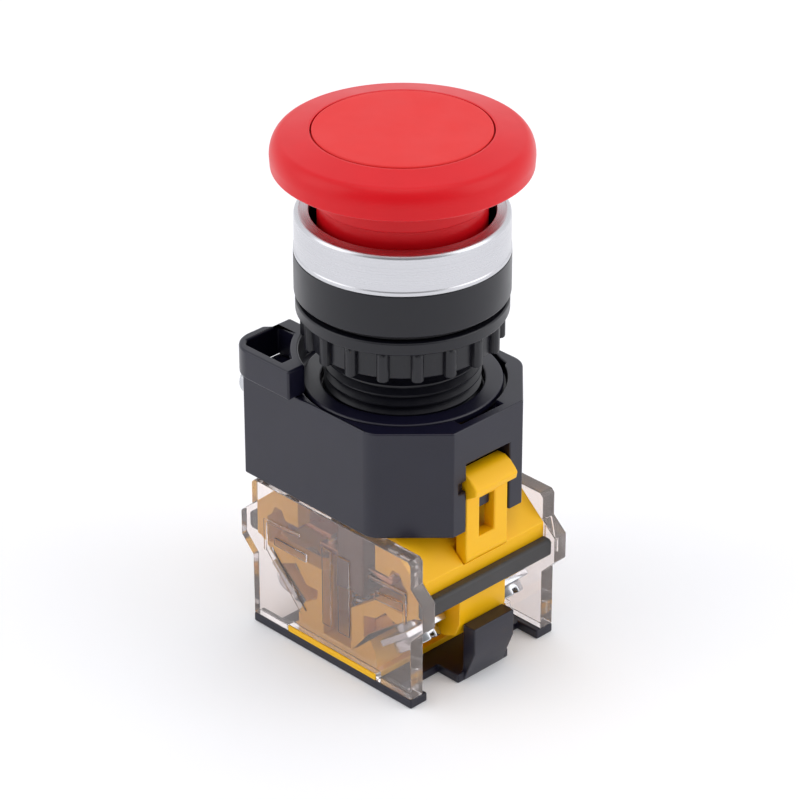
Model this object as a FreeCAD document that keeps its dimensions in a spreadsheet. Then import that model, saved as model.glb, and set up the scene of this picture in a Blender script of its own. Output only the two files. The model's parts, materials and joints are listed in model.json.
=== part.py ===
import FreeCAD, Part
import os
import re
import Sketcher

# Mushroom push button for a 22 mm panel hole, with a clip-on adapter and a contact block.
# Frame: millimetres, +Z runs out of the panel to the cap, X along the block, Y across it.
# The origin is on the neck's axis, at the underside of the panel gasket.

SIZES = {
    # head
    "gasket_thick": 0.85, "gasket_inset": 1.1, "collar_height": 6.25, "collar_radius": 15.0,
    "neck_radius": 11.0, "neck_length": 21.0, "thread_play": 0.06,
    "bezel_height": 6.0, "bezel_lip": 1.0, "bezel_width": 2.2, "bezel_round": 0.7, "bezel_draft": 0.15,
    "spigot_inset": 1.45, "cup_step": 0.15, "floor_drop": 1.6, "guide_drop": 3.0, "tool_room": 1.0,
    "weld": 0.1, "root": 1.0,
    # cap and stem
    "cap_over": 3.03, "cap_height": 5.25, "cap_round": 2.3, "cap_slope": 0.75, "cap_lift": 6.5,
    "cap_wall": 1.3, "skirt_flare": 1.0, "skirt_start": 0.2,
    "spigot_room": 0.2, "stem_proud": 0.5, "spring_room": 3.4, "rim_wall": 1.8, "rim_hollow": 3.0,
    "rim_bevel": 0.6, "skirt_play": 0.5,
    "skirt_height": 4.4, "sleeve_step": 0.6, "sleeve_length": 5.0, "boss_step": 0.6, "boss_length": 6.0,
    "disc_radius": 12.3, "disc_thick": 1.45, "disc_gap": 0.2, "disc_proud": 0.15, "disc_bevel": 0.25,
    "stem_radius": 7.0, "slide_play": 0.05, "spigot_step": 3.0, "spigot_length": 7.4,
    "clip_thick": 0.8, "groove_depth": 0.9, "clip_reach": 1.2, "clip_room": 0.4, "clip_gap": 5.0,
    "head_wire": 1.0, "head_turns": 5.0, "press_travel": 4.0,
    # nut
    "nut_height": 6.35, "flange_height": 1.9, "nut_wall": 2.2, "flange_reach": 1.63,
    "rib_count": 18.0, "rib_reach": 1.0, "rib_bevel": 0.4, "rib_width": 1.75, "rib_drop": 0.2,
    "rib_phase": 4.05, "nut_room": 12.9,
    # adapter
    "housing_height": 16.5, "housing_wall": 1.8, "housing_rim": 0.4, "roof_thick": 3.1, "roof_lap": 0.5,
    "wall_turn": 0.7, "corner_round": 0.4, "corner_x": 8.0, "corner_y": 8.25, "recess_depth": 1.4,
    "slot_width": 3.0, "slot_half": 4.0, "mouth_depth": 4.4, "mouth_half": 4.25, "mouth_drop": 5.8,
    "rail_thick": 1.0, "rail_lap": 2.0, "mouth_skin": 0.01, "housing_full": 16.5,
    "cheek_thick": 1.4, "nub_length": 3.4, "nub_half": 1.35, "nub_drop": 12.3,
    "nub_height": 2.2, "screw_y": 11.4, "screw_drop": 3.4, "screw_radius": 1.5, "screw_head": 2.3,
    "screw_proud": 2.2, "screw_length": 5.0, "screw_boss": 2.6, "wall_bite": 0.5, "screw_slit": 0.8,
    # lock lever
    "ring_gap": 0.4, "ring_width": 2.7, "ring_room": 0.5, "lever_play": 0.1, "loop_height": 4.5,
    "loop_out_x": 1.2, "loop_out_y": 1.6, "loop_gap": 0.3, "loop_bar": 1.5, "loop_rib": 1.2,
    "loop_reach": 5.5, "loop_end": 2.8, "loop_nick": 0.9, "loop_bevel": 1.6, "nick_length": 3.4,
    "arm_reach": 1.4, "arm_width": 4.5, "arm_play": 0.2, "sweep_room": 10.0, "arm_root": 0.5,
    "arm_skin": 0.05,
    "riser_root": 0.3, "riser_lap": 0.6, "unlock_angle": 30.0,
    # contact block
    "block_height": 23.6, "block_inset_x": 0.4, "block_inset_y": 3.1, "slope_run": 6.2,
    "shoulder_rise": 2.9, "shoulder_play": 0.3, "slope_drop": 5.4, "side_drop": 10.7, "foot_inset": 8.4,
    "flange_reach_x": 1.0, "flange_thick": 1.0, "pier_half": 4.6, "pier_inset": 0.4, "pier_drop": 18.6,
    "web_half": 1.2, "floor_thick": 2.0, "pocket_wall": 2.2, "pocket_step": 2.2, "waist_inset": 3.4,
    "face_thick": 2.4, "face_neck": 7.8, "face_top": 6.3, "face_low": 11.1, "face_gap": 2.8,
    "face_ramp": 8.0, "face_fall": 14.7, "nick_in": 10.5, "nick_out": 13.3, "nick_rise": 1.4,
    "nick_slope": 0.7,
    "flank_inset": 3.6, "flank_up": 3.6, "flank_down": 7.9, "foot_rise": 2.0, "pier_turn": 3.0,
    "pier_nick": 0.9, "slope_wall": 0.8, "side_wall": 0.3, "pocket_up": 1.2, "pocket_down": 9.1,
    "hole_start": 1.0, "latch_back": 0.6, "flank_drop": 12.96, "block_wall": 1.6,
    # latches
    "latch_half": 4.1, "latch_inset": 2.2, "latch_thick": 2.1, "latch_top": 8.9, "latch_pivot_drop": 4.6,
    "latch_lift": 0.35, "latch_eye": 1.1, "latch_play": 0.05, "latch_side": 0.15, "hook_out": 4.0,
    "hook_root": 1.6, "hook_draft": 0.2, "hook_under": 0.6,
    "hook_tip": 0.4, "hook_bevel": 0.5, "hook_rise": 1.0,
    "hook_height": 2.3, "window_half": 1.45, "window_play": 0.1, "window_height": 6.3,
    # shrouds and covers
    "shroud_depth": 1.6, "shroud_top": 7.6, "shroud_height": 2.8, "shroud_bevel": 0.4, "fit_gap": 0.05,
    "cover_thick": 2.45, "cover_inset": 0.2, "cover_drop": 1.0, "cover_bevel": 0.6, "ear_out": 2.4,
    "ear_top": 5.2, "ear_high": 7.3, "ear_low": 11.3, "ear_bottom": 13.8,
    # base
    "base_thick": 1.4, "base_inset": 4.1, "rail_half_y": 3.2, "catch_half": 3.95, "catch_out": 2.4,
    "catch_knee": 5.3, "catch_height": 9.4, "foot_out": 0.3, "foot_flare": 1.1, "foot_step": 0.4,
    "catch_lap": 1.2,
    # contacts
    "contact_inset": 5.5, "carrier_half_x": 2.6, "carrier_half_y": 2.8, "rod_half_x": 1.3,
    "rod_in": 2.5, "rod_out": 0.5, "carrier_no_low": 13.1, "carrier_nc_low": 14.4, "carrier_play": 0.1,
    "carrier_room": 0.9, "bridge_half": 7.4,
    "bridge_thick": 0.8, "bridge_half_y": 1.7, "tip_x": 6.2, "tip_radius": 1.1, "tip_thick": 0.7,
    "tip_gap": 0.02, "no_spring": 4.1, "nc_spring": 2.8, "bridge_nc_drop": 10.0, "strip_entry": 0.64,
    "bridge_coil": 1.3, "bridge_wire": 0.4, "bridge_turns": 3.5,
    "return_coil": 1.9, "return_wire": 0.5, "return_turns": 6.0,
    "strip_thick": 0.8, "strip_half_y": 1.75, "strip_run": 6.8, "strip_bend": 2.4, "strip_start": 0.3,
    "strip_end": 5.0, "riser_gap": 0.2,
    # terminals
    "terminal_inset": 3.6, "plate_half": 3.2, "plate_thick": 1.0, "wire_gap": 0.5, "terminal_back": 3.4,
    "terminal_screw": 1.75, "terminal_head": 2.9, "head_thick": 1.7, "driver_slot": 0.8,
    "terminal_shank": 2.3, "shank_room": 0.2, "well_play": 0.1,
}

# Sizes that follow from the sheet's, through the walls and clearances between the pieces.
FOLLOWING = {
    "gasket_radius": "(collar_radius - gasket_inset)",
    "spigot_radius": "(collar_radius - spigot_inset)",
    "bezel_bore": "(collar_radius - bezel_width)",
    "cup_radius": "(bezel_bore + cup_step)",
    "cap_radius": "(collar_radius + cap_over)",
    "skirt_radius": "(bezel_bore - skirt_play)",
    "sleeve_radius": "(skirt_radius - sleeve_step)",
    "spigot_core": "(stem_radius - spigot_step)",
    "boss_radius": "(stem_radius - boss_step)",
    "clip_groove": "(stem_radius - groove_depth)",
    "clip_radius": "(stem_radius + clip_reach)",
    "barrel_radius": "(clip_radius + clip_room)",
    "head_coil": "((stem_radius + sleeve_radius - cap_wall) / 2)",
    "nut_radius": "(neck_radius + nut_wall)",
    "flange_radius": "(nut_radius + flange_reach)",
    "rib_radius": "(nut_radius + rib_reach)",
    "ring_inner": "(neck_radius + ring_gap)",
    "ring_outer": "(ring_inner + ring_width)",
    "recess_radius": "(ring_outer + ring_room)",
    "slot_inner": "(neck_radius + ring_gap + rail_thick)",
    "slot_outer": "(slot_inner + slot_width)",
    "inside_scale": "(housing_height / housing_full)",
    "housing_half_x": "(slot_inner + mouth_depth)",
    "housing_half_y": "(recess_radius + housing_rim)",
    "loop_inner": "(rib_radius + loop_gap)",
    "loop_left": "(housing_half_x + loop_out_x)",
    "loop_front": "(housing_half_y + loop_out_y)",
    "arm_radius": "(loop_inner + arm_reach)",
    "block_half_x": "(housing_half_x - block_inset_x)",
    "block_half_y": "(housing_half_y - block_inset_y)",
    "shoulder_half": "(block_half_x - slope_run)",
    "foot_half": "(block_half_x - foot_inset)",
    "foot_flange": "(foot_half + flange_reach_x)",
    "pier_reach": "(block_half_x - pier_inset)",
    "pocket_half": "(block_half_x - pocket_wall)",
    "pocket_top": "(shoulder_half - pocket_step)",
    "pocket_waist": "(foot_half - waist_inset)",
    "flank_x": "(block_half_x - flank_inset)",
    "latch_inner": "(housing_half_x - latch_inset)",
    "latch_pivot_x": "(latch_inner + latch_eye)",
    "hook_reach": "(latch_inner + hook_out)",
    "cover_half_x": "(block_half_x - cover_inset)",
    "ear_reach": "(cover_half_x + ear_out)",
    "base_half_x": "(block_half_x - base_inset)",
    "catch_reach": "(pier_reach + catch_out)",
    "catch_foot": "(pier_reach + foot_out)",
    "contact_y": "(block_half_y - contact_inset)",
    "rod_inner": "(contact_y - rod_in)",
    "rod_outer": "(contact_y + rod_out)",
    "strip_riser": "(pocket_half - riser_gap - strip_thick)",
    "terminal_y": "(block_half_y - terminal_inset)",
}

# Levels, as spreadsheet expressions. Depths below the adapter carry the name "under".
COLLAR_TOP = "(gasket_thick + collar_height)"
BEZEL_TOP = f"({COLLAR_TOP} + bezel_height)"
CUP_FLOOR = f"({COLLAR_TOP} - floor_drop)"
CAP_LOW = f"({BEZEL_TOP} + cap_lift)"
CAP_TOP = f"({CAP_LOW} + cap_height)"
SKIRT_LOW = f"({CAP_LOW} - skirt_height)"
SLEEVE_LOW = f"({SKIRT_LOW} - sleeve_length)"
BOSS_LOW = f"({CAP_LOW} - boss_length)"
STEM_LOW = "(-neck_length - stem_proud)"
HOUSING_TOP = "(-nut_room)"
UNDER = "(-nut_room - housing_height)"
BLOCK_LOW = f"({UNDER} - block_height)"
BASE_LOW = f"({BLOCK_LOW} - base_thick)"
STRIP_TOP = f"({UNDER} - flank_drop - strip_entry)"
# The shoulder stays inside the adapter's bevelled corner, a little clear of its wall.
SHOULDER_HALF_Y = ("(housing_half_y - housing_wall"
                   " - (shoulder_half + shoulder_play - housing_half_x + housing_wall + corner_x - wall_turn)"
                   " * (corner_y - wall_turn) / (corner_x - wall_turn))")
BRIDGE_TOP = {
    "no": f"({STRIP_TOP} + 2 * tip_thick + press_travel + tip_gap + bridge_thick)",
    "nc": f"({UNDER} - bridge_nc_drop)",
}
# Terminal flanks slope at 3 across to 4 down from the vertical screw axis.
FLANK_RUN = 0.8
FLANK_FALL = 0.6
# Outlines of the front face's notches: how far down the flank and how deep behind it, in millimetres.
NOTCHES = {
    "Right": ((0.9, 0.1), (2.2, 2.2), (4.7, 1.9), (7.1, 2.9), (9.2, 0.1)),
    "Left": ((1.6, 0.1), (3.2, 3.1), (6.5, 2.2), (8.3, 3.7), (9.1, 2.5), (8.2, 0.1)),
}
# The lever's arm points to the corner between -X and -Y and unlocks towards -X.
LEVER_ANGLE = 225

doc = FreeCAD.newDocument("PushButton")
sheet = doc.addObject("Spreadsheet::Sheet", "Sizes")
for row, (alias, value) in enumerate(SIZES.items(), start=1):
    sheet.set(f"A{row}", alias)
    sheet.set(f"B{row}", str(value))
    sheet.setAlias(f"B{row}", alias)
doc.recompute()

ALIAS = re.compile(r"\b(" + "|".join(SIZES) + r")\b")
FOLLOWER = re.compile(r"\b(" + "|".join(FOLLOWING) + r")\b")
NODES = {}


def spell(expression):
    """Write an expression out until it holds only the sheet's own names."""
    text = str(expression)
    while FOLLOWER.search(text):
        text = FOLLOWER.sub(lambda found: FOLLOWING[found.group()], text)
    return text


def number(expression):
    """The present value of an expression."""
    return float(sheet.evalExpression(spell(expression)))


def bind(item, path, expression):
    """Tie one property of an object to an expression."""
    item.setExpression(path, ALIAS.sub(r"Sizes.\1", spell(expression)))


def keep(node, item):
    """Label the finished object of a sub-part; its label names its file."""
    item.Label = node
    NODES[node] = item
    return item


# ---------------------------------------------------------------- sketches and bodies

def new_sketch(body, role, offset="0"):
    """A sketch on one of the body's own origin planes, moved along the plane's normal."""
    plane = next(item for item in body.Origin.OriginFeatures if item.Role == role)
    sketch = body.newObject("Sketcher::SketchObject", "Profile")
    sketch.AttachmentSupport = [(plane, "")]
    sketch.MapMode = "FlatFace"
    bind(sketch, "AttachmentOffset.Base.z", offset)
    return sketch


def draw(sketch, corners):
    """Close a polygon through the corners, each corner tied to the sheet in both directions."""
    points = [FreeCAD.Vector(number(across), number(up), 0) for across, up in corners]
    count = len(points)
    for index in range(count):
        sketch.addGeometry(Part.LineSegment(points[index], points[(index + 1) % count]), False)
    for index in range(count):
        sketch.addConstraint(Sketcher.Constraint("Coincident", index, 2, (index + 1) % count, 1))
    for index, (across, up) in enumerate(corners):
        for kind, expression in (("DistanceX", across), ("DistanceY", up)):
            limit = sketch.addConstraint(Sketcher.Constraint(kind, -1, 1, index, 1, number(expression)))
            bind(sketch, f"Constraints[{limit}]", expression)


def turned(name, corners):
    """A body of revolution about Z, from (radius, height) corners."""
    body = doc.addObject("PartDesign::Body", name)
    sketch = new_sketch(body, "XZ_Plane")
    draw(sketch, corners)
    spin = body.newObject("PartDesign::Revolution", "Turn")
    spin.Profile = sketch
    spin.ReferenceAxis = (sketch, ["V_Axis"])
    spin.Angle = 360
    return body


def prism(name, role, corners, low, high):
    """A body padded from low to high along the axis that the plane's name leaves out."""
    body = doc.addObject("PartDesign::Body", name)
    # The XZ plane faces -Y, so its pad starts at the high side.
    start = f"-({high})" if role == "XZ_Plane" else low
    sketch = new_sketch(body, role, start)
    draw(sketch, corners)
    pad = body.newObject("PartDesign::Pad", "Pad")
    pad.Profile = sketch
    bind(pad, "Length", f"({high}) - ({low})")
    return body


def soften(body, radius, chosen):
    """Round the body's edges that the test picks, by their middle and direction."""
    tip = body.Tip
    doc.recompute()
    names = [f"Edge{index}" for index, edge in enumerate(tip.Shape.Edges, start=1) if chosen(edge)]
    if not names:
        raise RuntimeError(f"{body.Name}: no edge to round")
    fillet = body.newObject("PartDesign::Fillet", "Round")
    fillet.Base = (tip, names)
    bind(fillet, "Radius", radius)
    return body


def box(name, low, high):
    """A Part::Box between two corners given as expressions."""
    item = doc.addObject("Part::Box", name)
    for side, axis, start, end in zip(("Length", "Width", "Height"), "xyz", low, high):
        bind(item, side, f"({end}) - ({start})")
        bind(item, f"Placement.Base.{axis}", start)
    return item


def rod(name, radius, low, high, at=("0", "0")):
    """A Part::Cylinder along Z."""
    item = doc.addObject("Part::Cylinder", name)
    bind(item, "Radius", radius)
    bind(item, "Height", f"({high}) - ({low})")
    for axis, value in zip("xyz", (*at, low)):
        bind(item, f"Placement.Base.{axis}", value)
    return item


def cut(name, base, *tools):
    """The base less each tool in turn."""
    item = base
    for tool in tools:
        step = doc.addObject("Part::Cut", name)
        step.Base = item
        step.Tool = tool
        item = step
    return item


def join(name, *pieces):
    """One solid, or one group, from several pieces."""
    item = doc.addObject("Part::MultiFuse", name)
    item.Shapes = list(pieces)
    item.Refine = True
    return item


def coil(name, radius, wire, turns, low, high, at_y="0"):
    """A round-wire compression spring along Z, its wire's outside reaching from low to high."""
    path = doc.addObject("Part::Helix", f"{name}_path")
    bind(path, "Radius", radius)
    bind(path, "Height", f"({high}) - ({low}) - {wire}")
    bind(path, "Pitch", f"(({high}) - ({low}) - {wire}) / {turns}")
    section = doc.addObject("Part::Circle", f"{name}_wire")
    bind(section, "Radius", f"{wire} / 2")
    bind(section, "Placement.Base.x", radius)
    section.Placement.Rotation = FreeCAD.Rotation(FreeCAD.Vector(1, 0, 0), 90)
    doc.recompute()
    spring = doc.addObject("Part::Sweep", name)
    spring.Sections = [section]
    spring.Spine = (path, [f"Edge{index + 1}" for index in range(len(path.Shape.Edges))])
    spring.Solid = True
    spring.Frenet = True
    bind(spring, "Placement.Base.y", at_y)
    bind(spring, "Placement.Base.z", f"{low} + {wire} / 2")
    return spring


def span(side, near, far):
    """Low and high ends of a stretch from near to far, on the side of zero given by the sign."""
    return (near, far) if side > 0 else (f"-({far})", f"-({near})")


def flip(side, corners):
    """Mirror corners across the vertical when the side is negative."""
    return [(f"{side} * ({across})", up) for across, up in corners]


def is_level(edge, height, tolerance=1e-4):
    """True for an edge that lies flat at the height."""
    limits = edge.BoundBox
    return abs(limits.ZMin - height) < tolerance and abs(limits.ZMax - height) < tolerance


def is_upright(edge):
    """True for a straight edge along Z."""
    limits = edge.BoundBox
    return limits.ZLength > 0.5 and limits.XLength < 1e-4 and limits.YLength < 1e-4


# ---------------------------------------------------------------- head

def make_cap():
    """Moulded cap: a rounded rim over a hollow, a skirt, a thinner sleeve and a boss for the stem."""
    rim_inner = "(cap_radius - rim_wall)"
    hollow_top = f"({CAP_LOW} + rim_hollow)"
    shell = turned("CapShell", [
        ("0", f"{CAP_TOP} - disc_thick"),
        ("disc_radius + disc_gap", f"{CAP_TOP} - disc_thick"),
        ("disc_radius + disc_gap", CAP_TOP),
        ("cap_radius", f"{CAP_TOP} - cap_slope"),
        ("cap_radius", f"{CAP_LOW} + rim_bevel"),
        ("cap_radius - rim_bevel", CAP_LOW),
        (rim_inner, CAP_LOW),
        (rim_inner, hollow_top),
        ("skirt_radius + skirt_flare", hollow_top),
        ("skirt_radius", f"{CAP_LOW} - skirt_start"),
        ("skirt_radius", SKIRT_LOW),
        ("sleeve_radius", SKIRT_LOW),
        ("sleeve_radius", SLEEVE_LOW),
        ("sleeve_radius - cap_wall", SLEEVE_LOW),
        ("sleeve_radius - cap_wall", CAP_LOW),
        ("boss_radius", CAP_LOW),
        ("boss_radius", BOSS_LOW),
        ("spigot_core", BOSS_LOW),
        ("spigot_core", f"{BOSS_LOW} + spigot_length + spigot_room"),
        ("0", f"{BOSS_LOW} + spigot_length + spigot_room"),
    ])
    edge_height = number(f"{CAP_TOP} - cap_slope")
    edge_radius = number("cap_radius")

    def outer_edge(edge):
        return is_level(edge, edge_height) and abs(edge.BoundBox.XMax - edge_radius) < 1e-3

    keep("mushroom_cap", soften(shell, "cap_round", outer_edge))
    keep("cap_disc", turned("CapDisc", [
        ("0", f"{CAP_TOP} - disc_thick"),
        ("disc_radius", f"{CAP_TOP} - disc_thick"),
        ("disc_radius", f"{CAP_TOP} + disc_proud - disc_bevel"),
        ("disc_radius - disc_bevel", f"{CAP_TOP} + disc_proud"),
        ("0", f"{CAP_TOP} + disc_proud"),
    ]))


def make_stem():
    """Push stem with a spigot for the cap, and the clip that stops it rising out of the head."""
    clip_top = "(-guide_drop - slide_play)"
    clip_low = f"({clip_top} - clip_thick)"
    keep("plunger_stem", turned("Stem", [
        ("0", STEM_LOW),
        ("stem_radius", STEM_LOW),
        ("stem_radius", clip_low),
        ("clip_groove", clip_low),
        ("clip_groove", clip_top),
        ("stem_radius", clip_top),
        ("stem_radius", BOSS_LOW),
        ("spigot_core", BOSS_LOW),
        ("spigot_core", f"{BOSS_LOW} + spigot_length"),
        ("0", f"{BOSS_LOW} + spigot_length"),
    ]))
    ring = turned("ClipRing", [
        ("clip_groove", clip_low),
        ("clip_radius", clip_low),
        ("clip_radius", clip_top),
        ("clip_groove", clip_top),
    ])
    gap = box("ClipGap", ("0", "-clip_gap / 2", clip_low),
              ("clip_radius + tool_room", "clip_gap / 2", clip_top))
    keep("stem_clip", cut("StemClip", ring, gap))


def make_head():
    """Collar with the threaded neck, the metal bezel pressed over it, the spring and the gasket."""
    keep("head_body", turned("HeadBody", [
        ("stem_radius + slide_play", "-guide_drop"),
        ("barrel_radius", "-guide_drop"),
        ("barrel_radius", "-neck_length"),
        ("neck_radius", "-neck_length"),
        ("neck_radius", "gasket_thick"),
        ("collar_radius", "gasket_thick"),
        ("collar_radius", COLLAR_TOP),
        ("spigot_radius", COLLAR_TOP),
        ("spigot_radius", f"{BEZEL_TOP} - bezel_lip"),
        ("cup_radius", f"{BEZEL_TOP} - bezel_lip"),
        ("cup_radius", CUP_FLOOR),
        ("stem_radius + slide_play", CUP_FLOOR),
    ]))
    bezel = turned("Bezel", [
        ("spigot_radius", COLLAR_TOP),
        ("collar_radius", COLLAR_TOP),
        ("collar_radius - bezel_draft", BEZEL_TOP),
        ("bezel_bore", BEZEL_TOP),
        ("bezel_bore", f"{BEZEL_TOP} - bezel_lip"),
        ("spigot_radius", f"{BEZEL_TOP} - bezel_lip"),
    ])
    top = number(BEZEL_TOP)
    middle = number("(collar_radius + bezel_bore) / 2")

    def shoulder(edge):
        return is_level(edge, top) and edge.BoundBox.XMax > middle

    keep("bezel_ring", soften(bezel, "bezel_round", shoulder))
    wire = "(head_wire * (sleeve_radius - cap_wall - stem_radius) / spring_room)"
    keep("return_spring", coil("HeadSpring", "head_coil", wire, "head_turns", CUP_FLOOR, CAP_LOW))
    keep("panel_gasket", turned("Gasket", [
        ("neck_radius + thread_play", "0"),
        ("gasket_radius", "0"),
        ("gasket_radius", "gasket_thick"),
        ("neck_radius + thread_play", "gasket_thick"),
    ]))


def make_nut():
    """Round nut: a flange, a skirt and evenly spaced finger ribs."""
    top = "(-thread_play)"
    low = "(-thread_play - nut_height)"
    flange_low = "(-thread_play - flange_height)"
    nut = turned("Nut", [
        ("neck_radius + thread_play", top),
        ("neck_radius + thread_play", low),
        ("nut_radius", low),
        ("nut_radius", flange_low),
        ("flange_radius", flange_low),
        ("flange_radius", top),
    ])
    sketch = new_sketch(nut, "XY_Plane", f"{low} - rib_drop")
    inside = "(nut_radius - root)"
    draw(sketch, [
        (inside, "-rib_width / 2"),
        ("rib_radius - rib_bevel", "-rib_width / 2"),
        ("rib_radius", "-rib_width / 4"),
        ("rib_radius", "rib_width / 4"),
        ("rib_radius - rib_bevel", "rib_width / 2"),
        (inside, "rib_width / 2"),
    ])
    rib = nut.newObject("PartDesign::Pad", "Rib")
    rib.Profile = sketch
    bind(rib, "Length", "nut_height - flange_height + rib_drop + weld")
    doc.recompute()
    ring = nut.newObject("PartDesign::PolarPattern", "Ribs")
    ring.Originals = [rib]
    ring.Axis = (sketch, ["N_Axis"])
    ring.Angle = 360
    bind(ring, "Occurrences", "rib_count")
    nut.Tip = ring
    nut.Placement.Rotation = FreeCAD.Rotation(FreeCAD.Vector(0, 0, 1), 1)
    bind(nut, "Placement.Rotation.Angle", "rib_phase")
    keep("mounting_nut", nut)


# ---------------------------------------------------------------- adapter

def make_housing():
    """Hollow adapter shell with a bored roof, two latch mouths and the nubs that the latches catch."""
    half_x = "housing_half_x"
    half_y = "housing_half_y"
    shell = prism("HousingBlock", "XY_Plane", [
        (f"-{half_x}", f"-{half_y}"),
        (f"{half_x} - corner_x", f"-{half_y}"),
        (half_x, f"-{half_y} + corner_y"),
        (half_x, f"{half_y} - corner_y"),
        (f"{half_x} - corner_x", half_y),
        (f"-{half_x}", half_y),
    ], UNDER, HOUSING_TOP)
    soften(shell, "corner_round", is_upright)
    inner_x = "(housing_half_x - housing_wall)"
    inner_y = "(housing_half_y - housing_wall)"
    hollow = prism("HousingHollow", "XY_Plane", [
        (f"-{inner_x}", f"-{inner_y}"),
        (f"{inner_x} - corner_x + wall_turn", f"-{inner_y}"),
        (inner_x, f"-{inner_y} + corner_y - wall_turn"),
        (inner_x, f"{inner_y} - corner_y + wall_turn"),
        (f"{inner_x} - corner_x + wall_turn", inner_y),
        (f"-{inner_x}", inner_y),
    ], f"{UNDER} - tool_room", f"{HOUSING_TOP} - roof_thick")
    tools = [
        hollow,
        rod("NeckBore", "neck_radius + thread_play", f"{HOUSING_TOP} - roof_thick - tool_room",
            f"{HOUSING_TOP} + tool_room"),
        rod("RingRecess", "recess_radius", f"{HOUSING_TOP} - recess_depth", f"{HOUSING_TOP} + tool_room"),
        box("TopSlot", ("slot_inner", "-slot_half", f"{HOUSING_TOP} - roof_thick - tool_room"),
            ("slot_outer", "slot_half", f"{HOUSING_TOP} + tool_room")),
    ]
    tools.append(arm_sweep())
    rails = []
    for side, word in ((1, "Right"), (-1, "Left")):
        low, high = span(side, "slot_inner + mouth_skin", "housing_half_x + tool_room")
        tools.append(box(f"Mouth{word}", (low, "-mouth_half", f"{UNDER} - tool_room"),
                         (high, "mouth_half", f"{HOUSING_TOP} - mouth_drop * inside_scale")))
        low, high = span(side, "slot_inner - rail_thick", "slot_inner")
        rails.append(box(f"Rail{word}", (low, "-mouth_half - rail_lap", UNDER),
                         (high, "mouth_half + rail_lap", f"{HOUSING_TOP} - roof_thick + roof_lap")))
        low, high = span(side, "slot_inner - weld", "slot_inner + nub_length")
        nub_top = f"({HOUSING_TOP} - nub_drop * inside_scale)"
        rails.append(box(f"Nub{word}", (low, "-nub_half", f"{nub_top} - nub_height * inside_scale"),
                         (high, "nub_half", nub_top)))
        for edge, sign in (("Near", -1), ("Far", 1)):
            low, high = span(side, "slot_inner - rail_thick", "housing_half_x - wall_bite")
            front, back = span(sign, "mouth_half", "mouth_half + cheek_thick")
            rails.append(box(f"Cheek{word}{edge}", (low, front, UNDER),
                             (high, back, f"{HOUSING_TOP} - roof_thick + roof_lap")))
    screw_z = f"({HOUSING_TOP} - screw_drop)"
    boss = box("ScrewBoss",
               ("-housing_half_x + wall_bite", "-screw_y - screw_boss", f"{screw_z} - screw_boss"),
               ("-housing_half_x + screw_length", "-screw_y + screw_boss",
                f"{HOUSING_TOP} - roof_thick + roof_lap"))
    screw_hole = lying_rod("ScrewHole", "screw_radius", "-housing_half_x - tool_room",
                           "-housing_half_x + screw_length", "-screw_y", screw_z)
    carved = cut("HousingCarved", shell, *tools)
    filled = join("HousingFilled", carved, boss, *rails)
    keep("adapter_housing", cut("Housing", filled, screw_hole))
    head = lying_rod("ClampHead", "screw_head", "-housing_half_x - screw_proud", "-housing_half_x",
                     "-screw_y", screw_z)
    shank = lying_rod("ClampShank", "screw_radius", "-housing_half_x - weld",
                      "-housing_half_x + screw_length", "-screw_y", screw_z)
    slit = box("ClampSlot", ("-housing_half_x - screw_proud - tool_room", "-screw_y - screw_slit / 2",
                             f"{screw_z} - screw_head - tool_room"),
               ("-housing_half_x - screw_proud + tool_room", "-screw_y + screw_slit / 2",
                f"{screw_z} + screw_head + tool_room"))
    keep("clamp_screw", cut("ClampScrew", join("ClampRaw", head, shank), slit))


def arm_sweep():
    """The part of the roof recess that the lever's arm sweeps as it unlocks."""
    sector = doc.addObject("Part::Cylinder", "ArmSweep")
    bind(sector, "Radius", "arm_radius + arm_play")
    bind(sector, "Height", "recess_depth + tool_room")
    bind(sector, "Angle", "unlock_angle + 2 * sweep_room")
    bind(sector, "Placement.Base.z", f"{HOUSING_TOP} - recess_depth")
    sector.Placement.Rotation = FreeCAD.Rotation(FreeCAD.Vector(0, 0, 1), 1)
    bind(sector, "Placement.Rotation.Angle", f"{LEVER_ANGLE} - unlock_angle - sweep_room")
    return sector


def lying_rod(name, radius, low, high, at_y, at_z):
    """A Part::Cylinder along X."""
    item = doc.addObject("Part::Cylinder", name)
    bind(item, "Radius", radius)
    bind(item, "Height", f"({high}) - ({low})")
    item.Placement.Rotation = FreeCAD.Rotation(FreeCAD.Vector(0, 1, 0), 90)
    for axis, value in zip("xyz", (low, at_y, at_z)):
        bind(item, f"Placement.Base.{axis}", value)
    return item


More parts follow.
